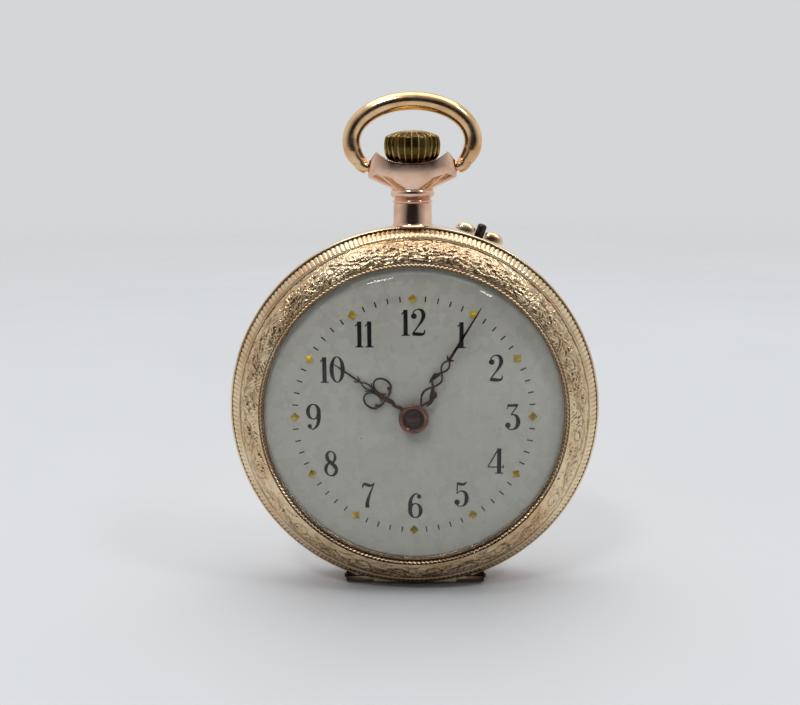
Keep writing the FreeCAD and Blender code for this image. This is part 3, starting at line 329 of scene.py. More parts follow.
def turned(name, profile, around, material, body, slot, instead, closed=True, sharp=50, cut=None):
    points = lathe(profile, around)
    if cut is not None:
        cut = np.tile(np.asarray(cut, float), (around, 1))
    faces = net(around, len(profile), True, closed)
    return piece(name, points, faces, material, body, slot, instead, cut=cut, sharp=sharp, weld=True)


def join_parts(parts):
    """Several (points, faces) as one."""
    points, faces, start = [], [], 0
    for some, quads in parts:
        some = np.asarray(some, float).reshape(-1, 3)
        points.append(some)
        faces += [tuple(start + index for index in face) for face in quads]
        start += len(some)
    return np.concatenate(points), faces


def joined(name, parts, *looks):
    """One piece made of several parts."""
    return piece(name, *join_parts(parts), *looks)


def turned_over(faces):
    return [face[::-1] for face in faces]


def tube(path, radii, sides):
    """A round wire along a path."""
    path = np.asarray(path, float)
    heading = np.gradient(path, axis=0)
    heading /= np.linalg.norm(heading, axis=1)[:, None]
    side = np.tile((0.0, 0.0, 1.0), (len(path), 1))
    side -= heading * (side * heading).sum(1)[:, None]
    side /= np.linalg.norm(side, axis=1)[:, None]
    other = np.cross(heading, side)
    turn = whole_turn(sides)
    ring = np.cos(turn)[None, :, None] * side[:, None] + np.sin(turn)[None, :, None] * other[:, None]
    points = path[:, None] + ring * np.asarray(radii, float)[:, None, None]
    faces = turned_over(net(len(path), sides, False, True))
    faces.append(tuple(range(sides))[::-1])
    faces.append(tuple(range((len(path) - 1) * sides, len(path) * sides)))
    return points.reshape(-1, 3), faces


def box_part(low, high, chamfer=0.05):
    """A block with its edges taken off."""
    made = bmesh.new()
    bmesh.ops.create_cube(made, size=1)
    low, high = np.asarray(low, float), np.asarray(high, float)
    for vertex in made.verts:
        vertex.co = Vector((low + (np.array(vertex.co) + 0.5) * (high - low)).tolist())
    bmesh.ops.bevel(made, geom=made.edges[:], offset=chamfer, segments=2, affect="EDGES")
    made.verts.index_update()
    result = ([tuple(v.co) for v in made.verts], [tuple(v.index for v in f.verts) for f in made.faces])
    made.free()
    return result


def ribbon(line, widths, base, thickness, crown=0.6):
    """A strip with a rounded top, such as a filed hand's scroll, along a flat line."""
    line = np.asarray(line, float)
    widths = np.asarray(widths, float)
    heading = np.gradient(line, axis=0)
    heading /= np.maximum(np.linalg.norm(heading, axis=1)[:, None], 1e-9)
    side = np.stack([-heading[:, 1], heading[:, 0]], -1)
    across = np.array([-1, -1, -0.72, -0.3, 0.3, 0.72, 1, 1])
    lift = np.array([0, crown, crown + (1 - crown) * 0.7, 1, 1, crown + (1 - crown) * 0.7, crown, 0])
    flat = line[:, None] + side[:, None] * (across[None, :, None] * widths[:, None, None] / 2)
    height = np.broadcast_to(base + thickness * lift, (len(line), len(across)))
    points = np.concatenate([flat, height[..., None]], -1)
    faces = turned_over(net(len(line), len(across), False, True))
    last = (len(line) - 1) * len(across)
    faces.append(tuple(range(len(across))))
    faces.append(tuple(range(last, last + len(across)))[::-1])
    return points.reshape(-1, 3), faces


def smooth_line(points, count):
    """A rounded line through points whose last value is a width."""
    points = np.asarray(points, float)
    padded = np.vstack([2 * points[0] - points[1], points, 2 * points[-1] - points[-2]])
    result = []
    spans = len(points) - 1
    for place in np.linspace(0, spans, count):
        span = min(int(place), spans - 1)
        t = place - span
        a, b, c, d = padded[span:span + 4]
        result.append(0.5 * (2 * b + (c - a) * t + (2 * a - 5 * b + 4 * c - d) * t ** 2
                             + (3 * b - a - 3 * c + d) * t ** 3))
    result = np.array(result)
    result[:, -1] = np.maximum(result[:, -1], 0.008)
    return result


def rot(points, degrees):
    """Turns flat points clockwise, as a clock's angle."""
    turn = math.radians(degrees)
    points = np.asarray(points, float).copy()
    x, y = points[:, 0].copy(), points[:, 1].copy()
    points[:, 0] = x * math.cos(turn) + y * math.sin(turn)
    points[:, 1] = -x * math.sin(turn) + y * math.cos(turn)
    return points


# --- hinge tubes and reliefs at 6 o'clock
HINGE_Y, TUBE_R, HINGE_HALF = -15.35, 0.55, 6.2
BEZEL_HINGE_Z, COVER_HINGE_Z = 4.75, 2.9
BEZEL_KNUCKLES, COVER_KNUCKLES = 5, 7


def knuckles(count, members, height, web_low, web_deep, web_back, web_front):
    parts = []
    for member in members:
        left = HINGE_HALF * (2 * member / count - 1) + 0.02
        right = left + 2 * HINGE_HALF / count - 0.04
        along = [left, left, left + 0.04, right - 0.04, right, right]
        radii = [0.2, TUBE_R - 0.04, TUBE_R, TUBE_R, TUBE_R - 0.04, 0.2]
        path = [(x, HINGE_Y, height) for x in along]
        turn = whole_turn(40)
        points = [[(x, HINGE_Y + r * math.cos(a), height + r * math.sin(a)) for a in turn]
                  for (x, _, _), r in zip(path, radii)]
        parts.append((points, net(len(path), 40, True, True)))
        parts.append(box_part((left, web_low, web_back), (right, web_low + web_deep, web_front), 0.03))
    return parts


def relieved(points, height, towards):
    """Clears the hinge tubes' round from a ring; towards is +1 to push to the viewer, -1 away."""
    points = points.copy()
    near = np.abs(points[..., 0]) < HINGE_HALF + 0.1
    across = points[..., 1] - HINGE_Y
    along = points[..., 2] - height
    inside = near & (np.hypot(across, along) < TUBE_R + 0.07)
    lifted = height + towards * np.sqrt(np.maximum((TUBE_R + 0.07) ** 2 - across ** 2, 0))
    points[..., 2] = np.where(inside, lifted, points[..., 2])
    return points


# --- bezel
ENGRAVED = arc((14.99, 6.1), (14.35, 7.1), (13.2, 7.57), 40)
REPEATS = 14


def segment_field(grid_s, grid_t, lines, period):
    """How deeply V-cut lines mark a repeat; each line is (points with a width)."""
    depth = np.zeros(grid_s.shape)
    for line in lines:
        for shift in (-period, 0, period):
            gap_s = grid_s[..., None] - (line[:, 0] + shift)
            gap_t = grid_t[..., None] - line[:, 1]
            distance = np.sqrt(gap_s ** 2 + gap_t ** 2) / line[:, 2]
            depth = np.maximum(depth, np.clip(1 - distance.min(-1), 0, 1))
    return depth


def scroll_lines(period, width):
    """One repeat of a running leaf scroll, drawn flat: s along the ring, t across it."""
    lines = []
    s = np.linspace(0, period, 150)
    middle = width / 2
    lines.append(np.stack([s, middle + 0.46 * width / 2 * np.sin(TAU * s / period), np.full(150, 0.10)], -1))
    for flip, centre in ((1, 0.25 * period), (-1, 0.75 * period)):
        turn = np.linspace(0, 1.55 * TAU, 120)
        reach = 0.30 * width * (1 - turn / (1.9 * TAU))
        base = middle - flip * 0.12 * width
        curl = np.stack([centre - 1.5 * reach * np.cos(turn), base + flip * reach * np.sin(turn),
                         0.11 - 0.04 * turn / turn[-1]], -1)
        lines.append(curl)
        for number in range(7):
            lean = TAU * (0.02 + 0.075 * number)
            start = np.array([centre + 1.5 * 0.33 * width * math.cos(lean),
                              base + flip * 0.36 * width * math.sin(lean)])
            run = np.array([1.25 * math.cos(lean + 0.6), flip * math.sin(lean + 0.6)]) * 0.13 * width
            k = np.linspace(0, 1, 14)[:, None]
            leaf = start + run * k + np.array([-run[1], run[0]]) * 0.5 * flip * k ** 2
            lines.append(np.hstack([leaf, 0.09 * (1 - 0.6 * k)]))
        for number in range(3):
            k = np.linspace(0, 1, 16)[:, None]
            start = np.array([centre + (0.16 + 0.05 * number) * period, middle + flip * 0.30 * width])
            run = np.array([0.10 * period, flip * (0.02 + 0.07 * number) * width])
            lines.append(np.hstack([start + run * k, 0.08 * (1 - 0.5 * k)]))
    return lines


def tarnish(points):
    """Painted shade: a brown darkening that grows towards 6 o'clock, the underside that light from above leaves in
    shade.
    """
    return 0.6 * np.clip((-points[..., 1] - 8.5) / 6.5, 0, 1)


def bezel_pieces():
    # outer rim, notched groove and flutes; 240 notches
    around, notches = 2400, 240
    turn = whole_turn(around)[:, None]
    tooth = np.abs(np.cos(notches / 2 * turn)) ** 0.7
    rib = np.abs(np.cos(notches / 2 * turn)) ** 0.55
    rows = [  # radius, height, tooth reach, rib depth, darkening
        (13.7, 5.6, 0, 0, 0), (14.95, 5.6, 0, 0, 0), (14.95, 4.8, 0, 0, 0), (15.3, 4.8, 0, 0, 0),
        (15.7, 4.8, 0, 0, 0), (15.93, 4.8, 0, 0, 0), (16.0, 4.87, 0, 0, 0), (16.0, 5.12, 0, 0, 0),
        (15.97, 5.23, 0, 0, 0), (15.90, 5.31, 0, 0, 0), (15.82, 5.31, 0, 0, 0.1), (15.78, 5.20, 0, 0, 0.9),
        (15.60, 5.20, 0.16, 0, 1.0), (15.61, 5.40, 0.14, 0, 0.8), (15.64, 5.54, 0.08, 0.01, 0.2),
        (15.62, 5.64, 0, 0.03, 0.05), (15.54, 5.78, 0, 0.035, 0.05), (15.41, 5.93, 0, 0.035, 0.05),
        (15.26, 6.05, 0, 0.03, 0.05), (15.17, 6.11, 0, 0.005, 0), (15.10, 6.13, 0, 0, 0),
        (15.03, 6.09, 0, 0, 0.5), (14.99, 6.10, 0, 0, 0.4)]
    radius = np.stack([r + reach * tooth[:, 0] + depth * 0.6 * (rib[:, 0] - 1) for r, _, reach, depth, _ in rows], -1)
    height = np.stack([z + depth * 0.8 * (rib[:, 0] - 1) for _, z, _, depth, _ in rows], -1)
    cut = np.stack([np.clip(mark * (1.0 if reach == 0 else 1 - 0.9 * tooth[:, 0])
                            + depth * 14 * (1 - rib[:, 0]), 0, 1) for _, _, reach, depth, mark in rows], -1)
    points = relieved(spun(radius, height), BEZEL_HINGE_Z, 1)
    rim = (points, net(around, len(rows), True, False))
    own = join_parts(knuckles(BEZEL_KNUCKLES, (1, 3), BEZEL_HINGE_Z, -15.65, 0.65, 4.8, 5.5))
    points, faces = join_parts([rim, own])
    # adds painted shade towards 6 o'clock
    cut = np.clip(cut + tarnish(spun(radius, height)), 0, 1)
    # painted shade: the bezel's hinge knuckles are darkened evenly
    marks = np.concatenate([cut.reshape(-1), np.full(len(own[0]), 0.5)])
    piece("bezel_rim", points, faces, "champagne_gold", "bezel", "champagne_gold", ("bezel",), marks, 50, True)

    # the wide convex band with a running leaf scroll
    around = 2016
    profile = np.array(ENGRAVED)
    step = np.gradient(profile, axis=0)
    step /= np.linalg.norm(step, axis=1)[:, None]
    normal = np.stack([step[:, 1], -step[:, 0]], -1)
    run = np.concatenate([[0], np.cumsum(np.linalg.norm(np.diff(profile, axis=0), axis=1))])
    width = run[-1]
    period = TAU * 14.2 / REPEATS
    per = around // REPEATS
    grid_s, grid_t = np.meshgrid(np.arange(per) * period / per, run, indexing="ij")
    depth = segment_field(grid_s, grid_t, scroll_lines(period, width), period)
    depth = np.tile(depth, (REPEATS, 1))
    dice = np.random.default_rng(5)
    turn = whole_turn(around)[:, None]
    slow = sum(dice.uniform(0.3, 1) * np.cos(k * turn + dice.uniform(0, TAU)) for k in (3, 5, 7, 11, 17)) / 5
    grain = dice.normal(0, 1, depth.shape)
    grain = (grain + np.roll(grain, 1, 0) + np.roll(grain, -1, 0) + np.roll(grain, 1, 1)) / 4
    edge = np.sin(np.pi * np.clip(run / width, 0, 1))[None, :] ** 0.4
    wave = np.sin(TAU * (run[None, :] / 0.36 + 1.6 * np.sin(REPEATS * 2 * turn) + 0.6 * slow))
    rough = dice.normal(0, 1, depth.shape)
    for shift in (1, 2, 4):
        rough = (rough + np.roll(rough, shift, 0) + np.roll(rough, -shift, 0)) / 3
    rough = (rough + np.roll(rough, 1, 1) + np.roll(rough, -1, 1)) / 3
    rough /= rough.std()
    lift = edge * (-0.06 * depth ** 0.8 + 0.012 * grain + 0.034 * rough + 0.02 * wave * (1 - depth) - 0.045)
    radius = profile[None, :, 0] + normal[None, :, 0] * lift
    height = profile[None, :, 1] + normal[None, :, 1] * lift
    mark = 0.55 * depth ** 1.2 + 0.10 * (1 - wave) / 2 * edge + 0.10 * (slow + 0.2) * edge
    # adds painted shade towards 6 o'clock to the engraved band's marks
    mark = np.clip(mark + 0.2 * np.clip(-rough, 0, 2) * edge + tarnish(spun(radius, height)), 0, 1)
    piece("bezel_engraved_band", spun(radius, height), net(around, len(profile), True, False), "champagne_gold",
          "bezel", "champagne_gold", (), mark, None, True)

    # a wriggle-cut line and the inner edge; 220 wriggles
    around, wriggles = 2640, 220
    turn = whole_turn(around)[:, None]
    wriggle = np.arcsin(np.sin(wriggles * turn))[:, 0] * 2 / math.pi
    rows = [(13.22, 7.57, 0, 0.15), (13.16, 7.53, 0, 0.9), (13.10, 7.52, 1, 0.8), (13.06, 7.59, 1, 0),
            (13.01, 7.63, 1, 0), (12.96, 7.59, 1, 0.1), (12.91, 7.51, 1, 0.9), (12.86, 7.50, 0, 0.8),
            (12.80, 7.48, 0, 0.7), (12.75, 7.44, 0, 0.8), (12.75, 7.42, 0, 0.8), (13.3, 7.42, 0, 0),
            (13.32, 7.14, 0, 0), (13.1, 7.14, 0, 0), (13.1, 7.05, 0, 0), (13.7, 7.05, 0, 0), (13.7, 5.6, 0, 0)]
    radius = np.stack([r + 0.05 * sway * wriggle for r, _, sway, _ in rows], -1)
    height = np.stack([np.full(around, z) for _, z, _, _ in rows], -1)
    # adds painted shade towards 6 o'clock
    cut = np.clip(np.array([mark for *_, mark in rows])[None, :] + tarnish(spun(radius, height)), 0, 1)
    piece("bezel_beading", spun(radius, height), net(around, len(rows), True, False), "champagne_gold", "bezel",
          "champagne_gold", (), cut, 60, True)


# --- crystal
def crystal_piece():
    def dome(radius, apex):
        return apex - 0.8 * (radius / 11.4) ** 2
    outer = [(r, dome(r, 9.15)) for r in np.linspace(0, 11.4, 40)]
    outer += arc((11.4, dome(11.4, 9.15)), (12.33, 7.95), (12.7, 7.4), 20)[1:]
    inner = arc((12.5, 7.16), (12.05, 7.68), (11.2, dome(11.2, 8.75)), 18)
    inner += [(r, dome(r, 8.75)) for r in np.linspace(11.2, 0, 36)][1:]
    profile = outer + [(13.3, 7.4), (13.3, 7.16)] + inner
    turned("crystal_glass", profile[::-1], 256, "glass", "bezel", "glass", ("crystal",), closed=False)


# --- band and back
def band_pieces():
    def flat_bottom(points):
        points = points.copy()
        low = (points[..., 1] < -14.6) & (np.abs(points[..., 0]) < 6.3)
        points[..., 1] = np.where(low, -14.6, points[..., 1])
        return points
    profile = [(13.62, 2.0), (14.6, 2.0), (14.6, 2.95), (15.9, 2.95), (15.95, 3.0), (15.95, 3.4), (15.95, 3.9),
               (15.95, 4.3), (15.95, 4.65), (15.9, 4.7), (14.9, 4.7), (14.9, 5.5), (13.62, 5.5), (13.62, 4.6),
               (14.15, 4.6), (14.15, 3.95), (13.62, 3.95)]
    around = 720
    ring = flat_bottom(lathe(profile, around))
    parts = [(ring, net(around, len(profile), True, True))]
    parts += knuckles(BEZEL_KNUCKLES, (0, 2, 4), BEZEL_HINGE_Z, HINGE_Y, 1.1, 4.25, 4.65)
    parts += knuckles(COVER_KNUCKLES, (0, 3, 6), COVER_HINGE_Z, HINGE_Y, 1.1, 3.0, 3.4)
    points, faces = join_parts(parts)
    bare = ring.shape[0] * ring.shape[1]
    # painted shade: the hinge knuckles are darkened, most towards their two ends; the plain ring is left unmarked
    marks = np.where(np.abs(points[:, 0]) > HINGE_HALF - 1.2, 0.97, 0.5)
    marks[:bare] = 0
    piece("case_band_ring", points, faces, "rose_gold", "case", "rose_gold", ("case_band",), marks, 35, True)


def back_pieces():
    # outer face: blank round shield, rays of engine turning, a border of petals
    around = 900
    inner = [(r, 0.0) for r in np.linspace(0.02, 9.0, 52)]
    outer = arc((9.0, 0.0), (12.0, 0.19), (14.9, 0.75), 36)[1:] + [(15.3, 0.93), (15.62, 1.12), (15.82, 1.26),
                                                                   (15.9, 1.38), (15.9, 2.0), (15.9, 2.84)]
    profile = np.array(inner + outer)
    radius = np.tile(profile[:, 0], (around, 1))
    height = np.tile(profile[:, 1], (around, 1))
    turn = whole_turn(around)[:, None]
    field = np.clip((radius - 4.3) / 0.2, 0, 1) * np.clip((9.2 - radius) / 0.2, 0, 1)
    rays = 0.5 + 0.5 * np.cos(36 * turn + 2.4 * np.sin(TAU * (radius - 4.2) / 1.7))
    border = np.clip((radius - 9.9) / 0.2, 0, 1) * np.clip((14.4 - radius) / 0.3, 0, 1)
    u = (radius - 9.9) / 4.5
    leaves = np.abs(np.sin(15 * turn + 1.1 * np.sin(np.pi * u))) - (0.25 + 0.7 * np.abs(u - 0.45))
    veins = 0.5 + 0.5 * np.cos(90 * turn + 5 * u)
    petals = np.clip(leaves * 4, 0, 1) * (0.4 + 0.6 * veins)
    rings = sum(np.exp(-((radius - r) / 0.09) ** 2) for r in (4.05, 9.45, 9.75, 14.55))
    depth = field * (1 - rays) * 0.07 + border * (1 - petals) * 0.08 + 0.07 * rings
    depth *= np.clip((15.0 - radius) / 0.3, 0, 1)
    mark = np.clip(depth * 9, 0, 0.75)
    points = relieved(spun(radius, height + depth), COVER_HINGE_Z, -1)
    shell = (points.reshape(-1, 3), turned_over(net(around, len(profile), True, False)))
    inside = np.array([(15.9, 2.84), (15.06, 2.84), (15.06, 1.42), (14.5, 1.13)]
                      + arc((14.5, 1.13), (11.8, 0.62), (9.0, 0.45), 20)[1:]
                      + [(6.0, 0.45), (3.0, 0.45), (0.02, 0.45)])
    lining = relieved(lathe(inside, around), COVER_HINGE_Z, -1)
    lining = (lining.reshape(-1, 3), turned_over(net(around, len(inside), True, False)))
    own = join_parts(knuckles(COVER_KNUCKLES, (1, 5), COVER_HINGE_Z, -15.6, 0.6, 2.2, 2.85))
    points, faces = join_parts([shell, own, lining])
    marks = np.concatenate([mark.reshape(-1), np.zeros(len(own[0]) + len(lining[0]))])
    piece("back_cover_engraved", points, faces, "back_gold", "back_cover", "rose_gold", ("back_cover",), marks, 40,
          True)

    profile = np.array([(0.02, 0.85), (5, 0.85), (10.5, 0.85)] + arc((10.5, 0.85), (12.5, 0.99), (14.5, 1.42), 16)[1:]
                       + [(14.85, 1.5), (14.98, 1.62), (14.98, 2.2), (14.98, 2.85), (14.65, 2.85), (14.65, 1.9),
                          (14.3, 1.75)] + arc((14.3, 1.75), (12.4, 1.297), (10.5, 1.15), 12)[1:] + [(0.02, 1.15)])
    ring = relieved(lathe(profile, 360), COVER_HINGE_Z, -1)
    own = join_parts(knuckles(COVER_KNUCKLES, (2, 4), COVER_HINGE_Z, HINGE_Y, 0.65, 2.25, 2.8))
    parts = [(ring, turned_over(net(360, len(profile), True, False))), own]
    joined("dust_cover_dome", parts, "polished_gilt", "dust_cover", "polished_gilt", ("dust_cover",), None, 35, True)


# --- pendant, bow, crown, set pin
def pendant_piece():
    profile = [(0.44, 16.0), (1.80, 15.97), (1.72, 16.06), (1.65, 16.16), (1.64, 16.4), (1.64, 17.72), (1.60, 17.82)]
    profile += arc((1.60, 17.86), (1.70, 18.0), (1.60, 18.14), 10) + [(1.55, 18.22)]
    profile += arc((1.60, 18.30), (1.88, 18.72), (1.74, 19.02), 16) + [(0.44, 19.02)]
    around = 240
    neck = lathe(profile, around, True)
    parts = [(neck, net(around, len(profile), True, True))]

    # the saddle: a round foot that widens into two square wings, with its lip dipping at front and back
    turn = whole_turn(around)

    def section(wide, deep, power):
        across = np.sign(np.cos(turn)) * np.abs(np.cos(turn)) ** (2 / power)
        through = np.sign(np.sin(turn)) * np.abs(np.sin(turn)) ** (2 / power)
        return wide * across, STEM_Z + deep * through, np.abs(across)

    def lip(x):
        away = np.abs(x)
        return np.where(away < peak, 21.12 + 0.98 * (away / peak) ** 2.6, 22.1 - 0.9 * (away - peak) / (wing - peak))
    foot, peak, wing, free = 18.95, 2.96, 3.75, 30.0
    rows = []
    for level, wide, deep, power in ((0.0, 1.70, 1.70, 2.0), (0.08, 1.92, 1.80, 2.0), (0.20, 2.50, 1.93, 2.1),
                                     (0.33, 3.12, 2.02, 2.1), (0.42, 3.56, 2.08, 2.1), (0.46, 3.71, 2.10, 2.2),
                                     (0.52, 3.75, 2.12, 2.2), (0.72, 3.75, 2.15, 2.2), (0.95, 3.75, 2.17, 2.2),
                                     (0.99, 3.73, 2.17, 2.2)):
        x, z, share = section(wide, deep, power)
        rows.append(np.stack([x, foot + level * (lip(wing * share) - foot), z], -1))
    for wide, deep, power, limit in ((3.68, 2.16, 2.2, free), (3.4, 2.15, 2.2, free), (3.1, 2.14, 2.2, free),
                                     (2.96, 2.13, 2.2, free), (2.86, 2.12, 2.2, free), (2.74, 2.10, 2.2, 21.95),
                                     (2.62, 2.09, 2.1, 21.60), (2.46, 2.08, 2.1, 21.20), (2.25, 2.06, 2.0, 20.95),
                                     (2.05, 2.05, 2.0, 20.86), (2.05, 2.05, 2.0, 20.3), (0.44, 0.44, 2.0, 20.3),
                                     (0.44, 0.44, 2.0, foot)):
        x, z, _ = section(wide, deep, power)
        rows.append(np.stack([x, np.minimum(lip(x), limit), z], -1))
    grid = np.array(rows)
    parts.append((grid, net(len(rows), around, True, True)))
    joined("pendant_with_ears", parts, "rose_gold", "case", "rose_gold", ("pendant",), None, 50, True)


def bow_piece():
    lean = np.radians(np.linspace(-30, 210, 150))
    path = np.stack([5.1 * np.cos(lean), 22.97 + 3.29 * np.sin(lean), np.full(150, STEM_Z)], -1)
    first = np.array([(3.84, 20.80, STEM_Z), (4.02, 20.86, STEM_Z), (4.2, 20.97, STEM_Z), (4.36, 21.16, STEM_Z)])
    last = first[::-1] * (-1, 1, 1)
    path = np.vstack([first, path, last])
    away = np.minimum(np.arange(len(path)), np.arange(len(path))[::-1])
    radii = 0.50 + 0.25 * np.clip(away / 14, 0, 1) ** 0.7
    parts = [tube(path, radii, 40)]
    for side in (1, -1):
        parts.append(tube([(side * x, 20.8, STEM_Z) for x in (2.8, 3.0, 3.9)], [0.3, 0.33, 0.33], 24))
    joined("bow_ring", parts, "yellow_gold", "bow", "yellow_gold", ("bow",), None, 45)


def crown_piece():
    side = arc((1.35, 21.14), (2.04, 21.52), (2.33, 22.25), 14)
    side += arc((2.33, 22.25), (2.35, 22.8), (2.27, 23.25), 12)[1:]
    shoulder = arc((2.27, 23.25), (2.2, 23.38), (2.05, 23.46), 6)[1:]
    top = arc((2.05, 23.46), (1.2, 23.76), (0.0, 23.89), 14)[1:]
    profile = np.array([(0.4, 21.17), (1.1, 21.16)] + side + shoulder + top)
    around, ridges = 672, 24
    turn = whole_turn(around)[:, None]
    phase = (ridges * turn / TAU) % 1.0
    away = np.minimum(phase, 1 - phase)
    ridge = np.clip(1 - away / 0.17, 0, 1) ** 0.6
    hollow = 1 - ridge
    level = np.clip((profile[:, 1] - 21.1) / 0.25, 0, 1) * np.clip((profile[:, 0] - 1.25) / 0.5, 0, 1)
    radius = profile[None, :, 0] - 0.15 * hollow * level[None, :]
    height = np.tile(profile[:, 1], (around, 1)) - 0.05 * hollow * level[None, :]
    # painted shade: the crown darkens towards its lower end, next to the pendant
    lower_end_shade = 0.45 * np.clip((22.1 - profile[:, 1]) / 0.9, 0, 1)
    mark = np.clip(0.88 * hollow ** 0.6 * level[None, :] + lower_end_shade[None, :], 0, 1)
    points = spun(radius, height, True)
    piece("crown_fluted", points, net(around, len(profile), True, False), "crown_brass", "crown", "crown_brass",
          ("crown",), mark, None, True)


def guard_pieces():
    turn, pin_z = math.radians(20.5), 3.8
    out = np.array([math.sin(turn), math.cos(turn), 0])
    along = np.array([math.cos(turn), -math.sin(turn), 0])
    front = np.array([0, 0, 1.0])
    parts = []
    for side in (1, -1):
        rows, columns = 24, 48
        lat = np.linspace(0, math.pi / 2, rows)[:, None]
        lon = whole_turn(columns)[None, :]
        x = 0.92 * np.cos(lat) ** 0.8 * np.sign(np.cos(lon)) * np.abs(np.cos(lon)) ** 0.8
        z = 0.56 * np.cos(lat) ** 0.8 * np.sign(np.sin(lon)) * np.abs(np.sin(lon)) ** 0.8
        y = 0.76 * np.sin(lat) ** 0.9 * np.ones_like(lon)
        x = np.where(x * side < -0.76, -0.76 * side, x)
        centre = out * 15.98 + along * side * 1.22 + front * pin_z
        grid = centre + x[..., None] * along + y[..., None] * out + z[..., None] * front
        parts.append((grid, net(rows, columns, False, True)))
    joined("set_pin_guard_domes", parts, "champagne_gold", "case", "rose_gold", ("set_pin_guard",), None, 40, True)
    path = [out * level + front * pin_z for level in (14.9, 15.1, 16.8, 16.95, 17.04, 17.09)]
    points, faces = tube(path, [0.36, 0.4, 0.4, 0.38, 0.3, 0.18], 32)
    piece("set_pin_button", points, faces, "dark_steel", "set_pin", "dark_steel", ("set_pin",), None, 40)


# --- dial
def numeral_strokes():
    """Upright figures with fat and fine strokes, one unit high, drawn as (x, y, width)."""
    def loop(cx, cy, rx, ry, thin, fat, lean=0.0, count=60):
        turn = np.linspace(0, TAU, count)
        width = thin + (fat - thin) * np.abs(np.cos(turn + lean)) ** 1.7
        return np.stack([cx + rx * np.cos(turn), cy + ry * np.sin(turn), width], -1)

    def dot(x, y, r):
        turn = np.linspace(0, TAU, 20)
        return np.stack([x + r * 0.5 * np.cos(turn), y + r * 0.5 * np.sin(turn), np.full(20, r)], -1)

    def line(*points):
        return np.array(points, float)

    def curve(*points):
        return smooth_line(points, 14 * len(points))

    one = [line((0.16, 0.0, 0.13), (0.16, 0.97, 0.13)), line((0.005, 0.79, 0.02), (0.16, 0.95, 0.055)),
           line((0.01, 0.014, 0.03), (0.31, 0.014, 0.03))]
    six = [curve((0.44, 0.88, 0.035), (0.36, 0.975, 0.03), (0.27, 0.965, 0.04), (0.14, 0.82, 0.085),
                 (0.08, 0.58, 0.12), (0.08, 0.34, 0.125)),
           loop(0.28, 0.30, 0.205, 0.285, 0.03, 0.125), dot(0.43, 0.865, 0.075)]
    glyphs = {
        "1": (0.32, one),
        "0": (0.54, [loop(0.27, 0.5, 0.21, 0.485, 0.025, 0.13, 0, 80)]),
        "2": (0.54, [dot(0.10, 0.73, 0.095),
                     curve((0.06, 0.74, 0.03), (0.09, 0.89, 0.03), (0.24, 0.985, 0.03), (0.40, 0.93, 0.09),
                           (0.455, 0.75, 0.125), (0.39, 0.55, 0.085), (0.24, 0.33, 0.045), (0.045, 0.06, 0.035)),
                     curve((0.04, 0.05, 0.07), (0.16, 0.06, 0.11), (0.32, 0.045, 0.10), (0.46, 0.07, 0.06),
                           (0.51, 0.22, 0.015))]),
        "3": (0.56, [line((0.08, 0.945, 0.085), (0.46, 0.955, 0.085)),
                     line((0.085, 0.985, 0.02), (0.065, 0.79, 0.02)),
                     line((0.47, 0.97, 0.03), (0.22, 0.60, 0.03)),
                     curve((0.21, 0.585, 0.03), (0.32, 0.59, 0.045), (0.44, 0.50, 0.10), (0.485, 0.31, 0.135),
                           (0.42, 0.10, 0.09), (0.27, 0.018, 0.03), (0.13, 0.04, 0.03), (0.06, 0.16, 0.04)),
                     dot(0.10, 0.18, 0.095)]),
        "4": (0.66, [line((0.455, 0.0, 0.13), (0.455, 0.99, 0.13)), line((0.03, 0.255, 0.03), (0.63, 0.255, 0.03)),
                     line((0.03, 0.265, 0.03), (0.43, 0.985, 0.035)), line((0.31, 0.014, 0.03), (0.61, 0.014, 0.03)),
                     line((0.62, 0.20, 0.02), (0.62, 0.34, 0.02))]),
        "5": (0.54, [line((0.105, 0.96, 0.03), (0.09, 0.52, 0.03)),
                     curve((0.10, 0.955, 0.05), (0.22, 0.90, 0.09), (0.36, 0.90, 0.07), (0.46, 1.0, 0.02)),
                     curve((0.09, 0.52, 0.025), (0.18, 0.60, 0.03), (0.31, 0.62, 0.05), (0.43, 0.52, 0.105),
                           (0.465, 0.31, 0.13), (0.40, 0.10, 0.085), (0.26, 0.018, 0.03), (0.12, 0.045, 0.03),
                           (0.055, 0.16, 0.04)), dot(0.095, 0.18, 0.095)]),
        "6": (0.56, six),
        "7": (0.52, [curve((0.035, 0.80, 0.02), (0.06, 0.94, 0.06), (0.16, 0.955, 0.10), (0.30, 0.90, 0.09),
                           (0.41, 0.925, 0.05), (0.485, 1.0, 0.02)),
                     curve((0.48, 0.985, 0.02), (0.37, 0.72, 0.045), (0.26, 0.42, 0.085), (0.21, 0.19, 0.12),
                           (0.205, 0.01, 0.135))]),
        "8": (0.56, [loop(0.28, 0.755, 0.165, 0.225, 0.03, 0.085, 0.3),
                     loop(0.28, 0.27, 0.205, 0.255, 0.03, 0.105, 0.3),
                     curve((0.145, 0.83, 0.07), (0.18, 0.63, 0.11), (0.36, 0.46, 0.12), (0.455, 0.30, 0.09))]),
    }
    turned_six = []
    for stroke in six:
        flipped = stroke.copy()
        flipped[:, 0] = 0.56 - flipped[:, 0]
        flipped[:, 1] = 1.0 - flipped[:, 1]
        turned_six.append(flipped)
    glyphs["9"] = (0.56, turned_six)
    return glyphs


DIAL_Z = 7.0
INK = (DIAL_Z - 0.01, 0.022, 0.5)  # underside, thickness and edge height of a printed stroke
SET_TURN = (0, 12, -15, 0, 8, 14, 0, 10, 14, 0, 6, 22)


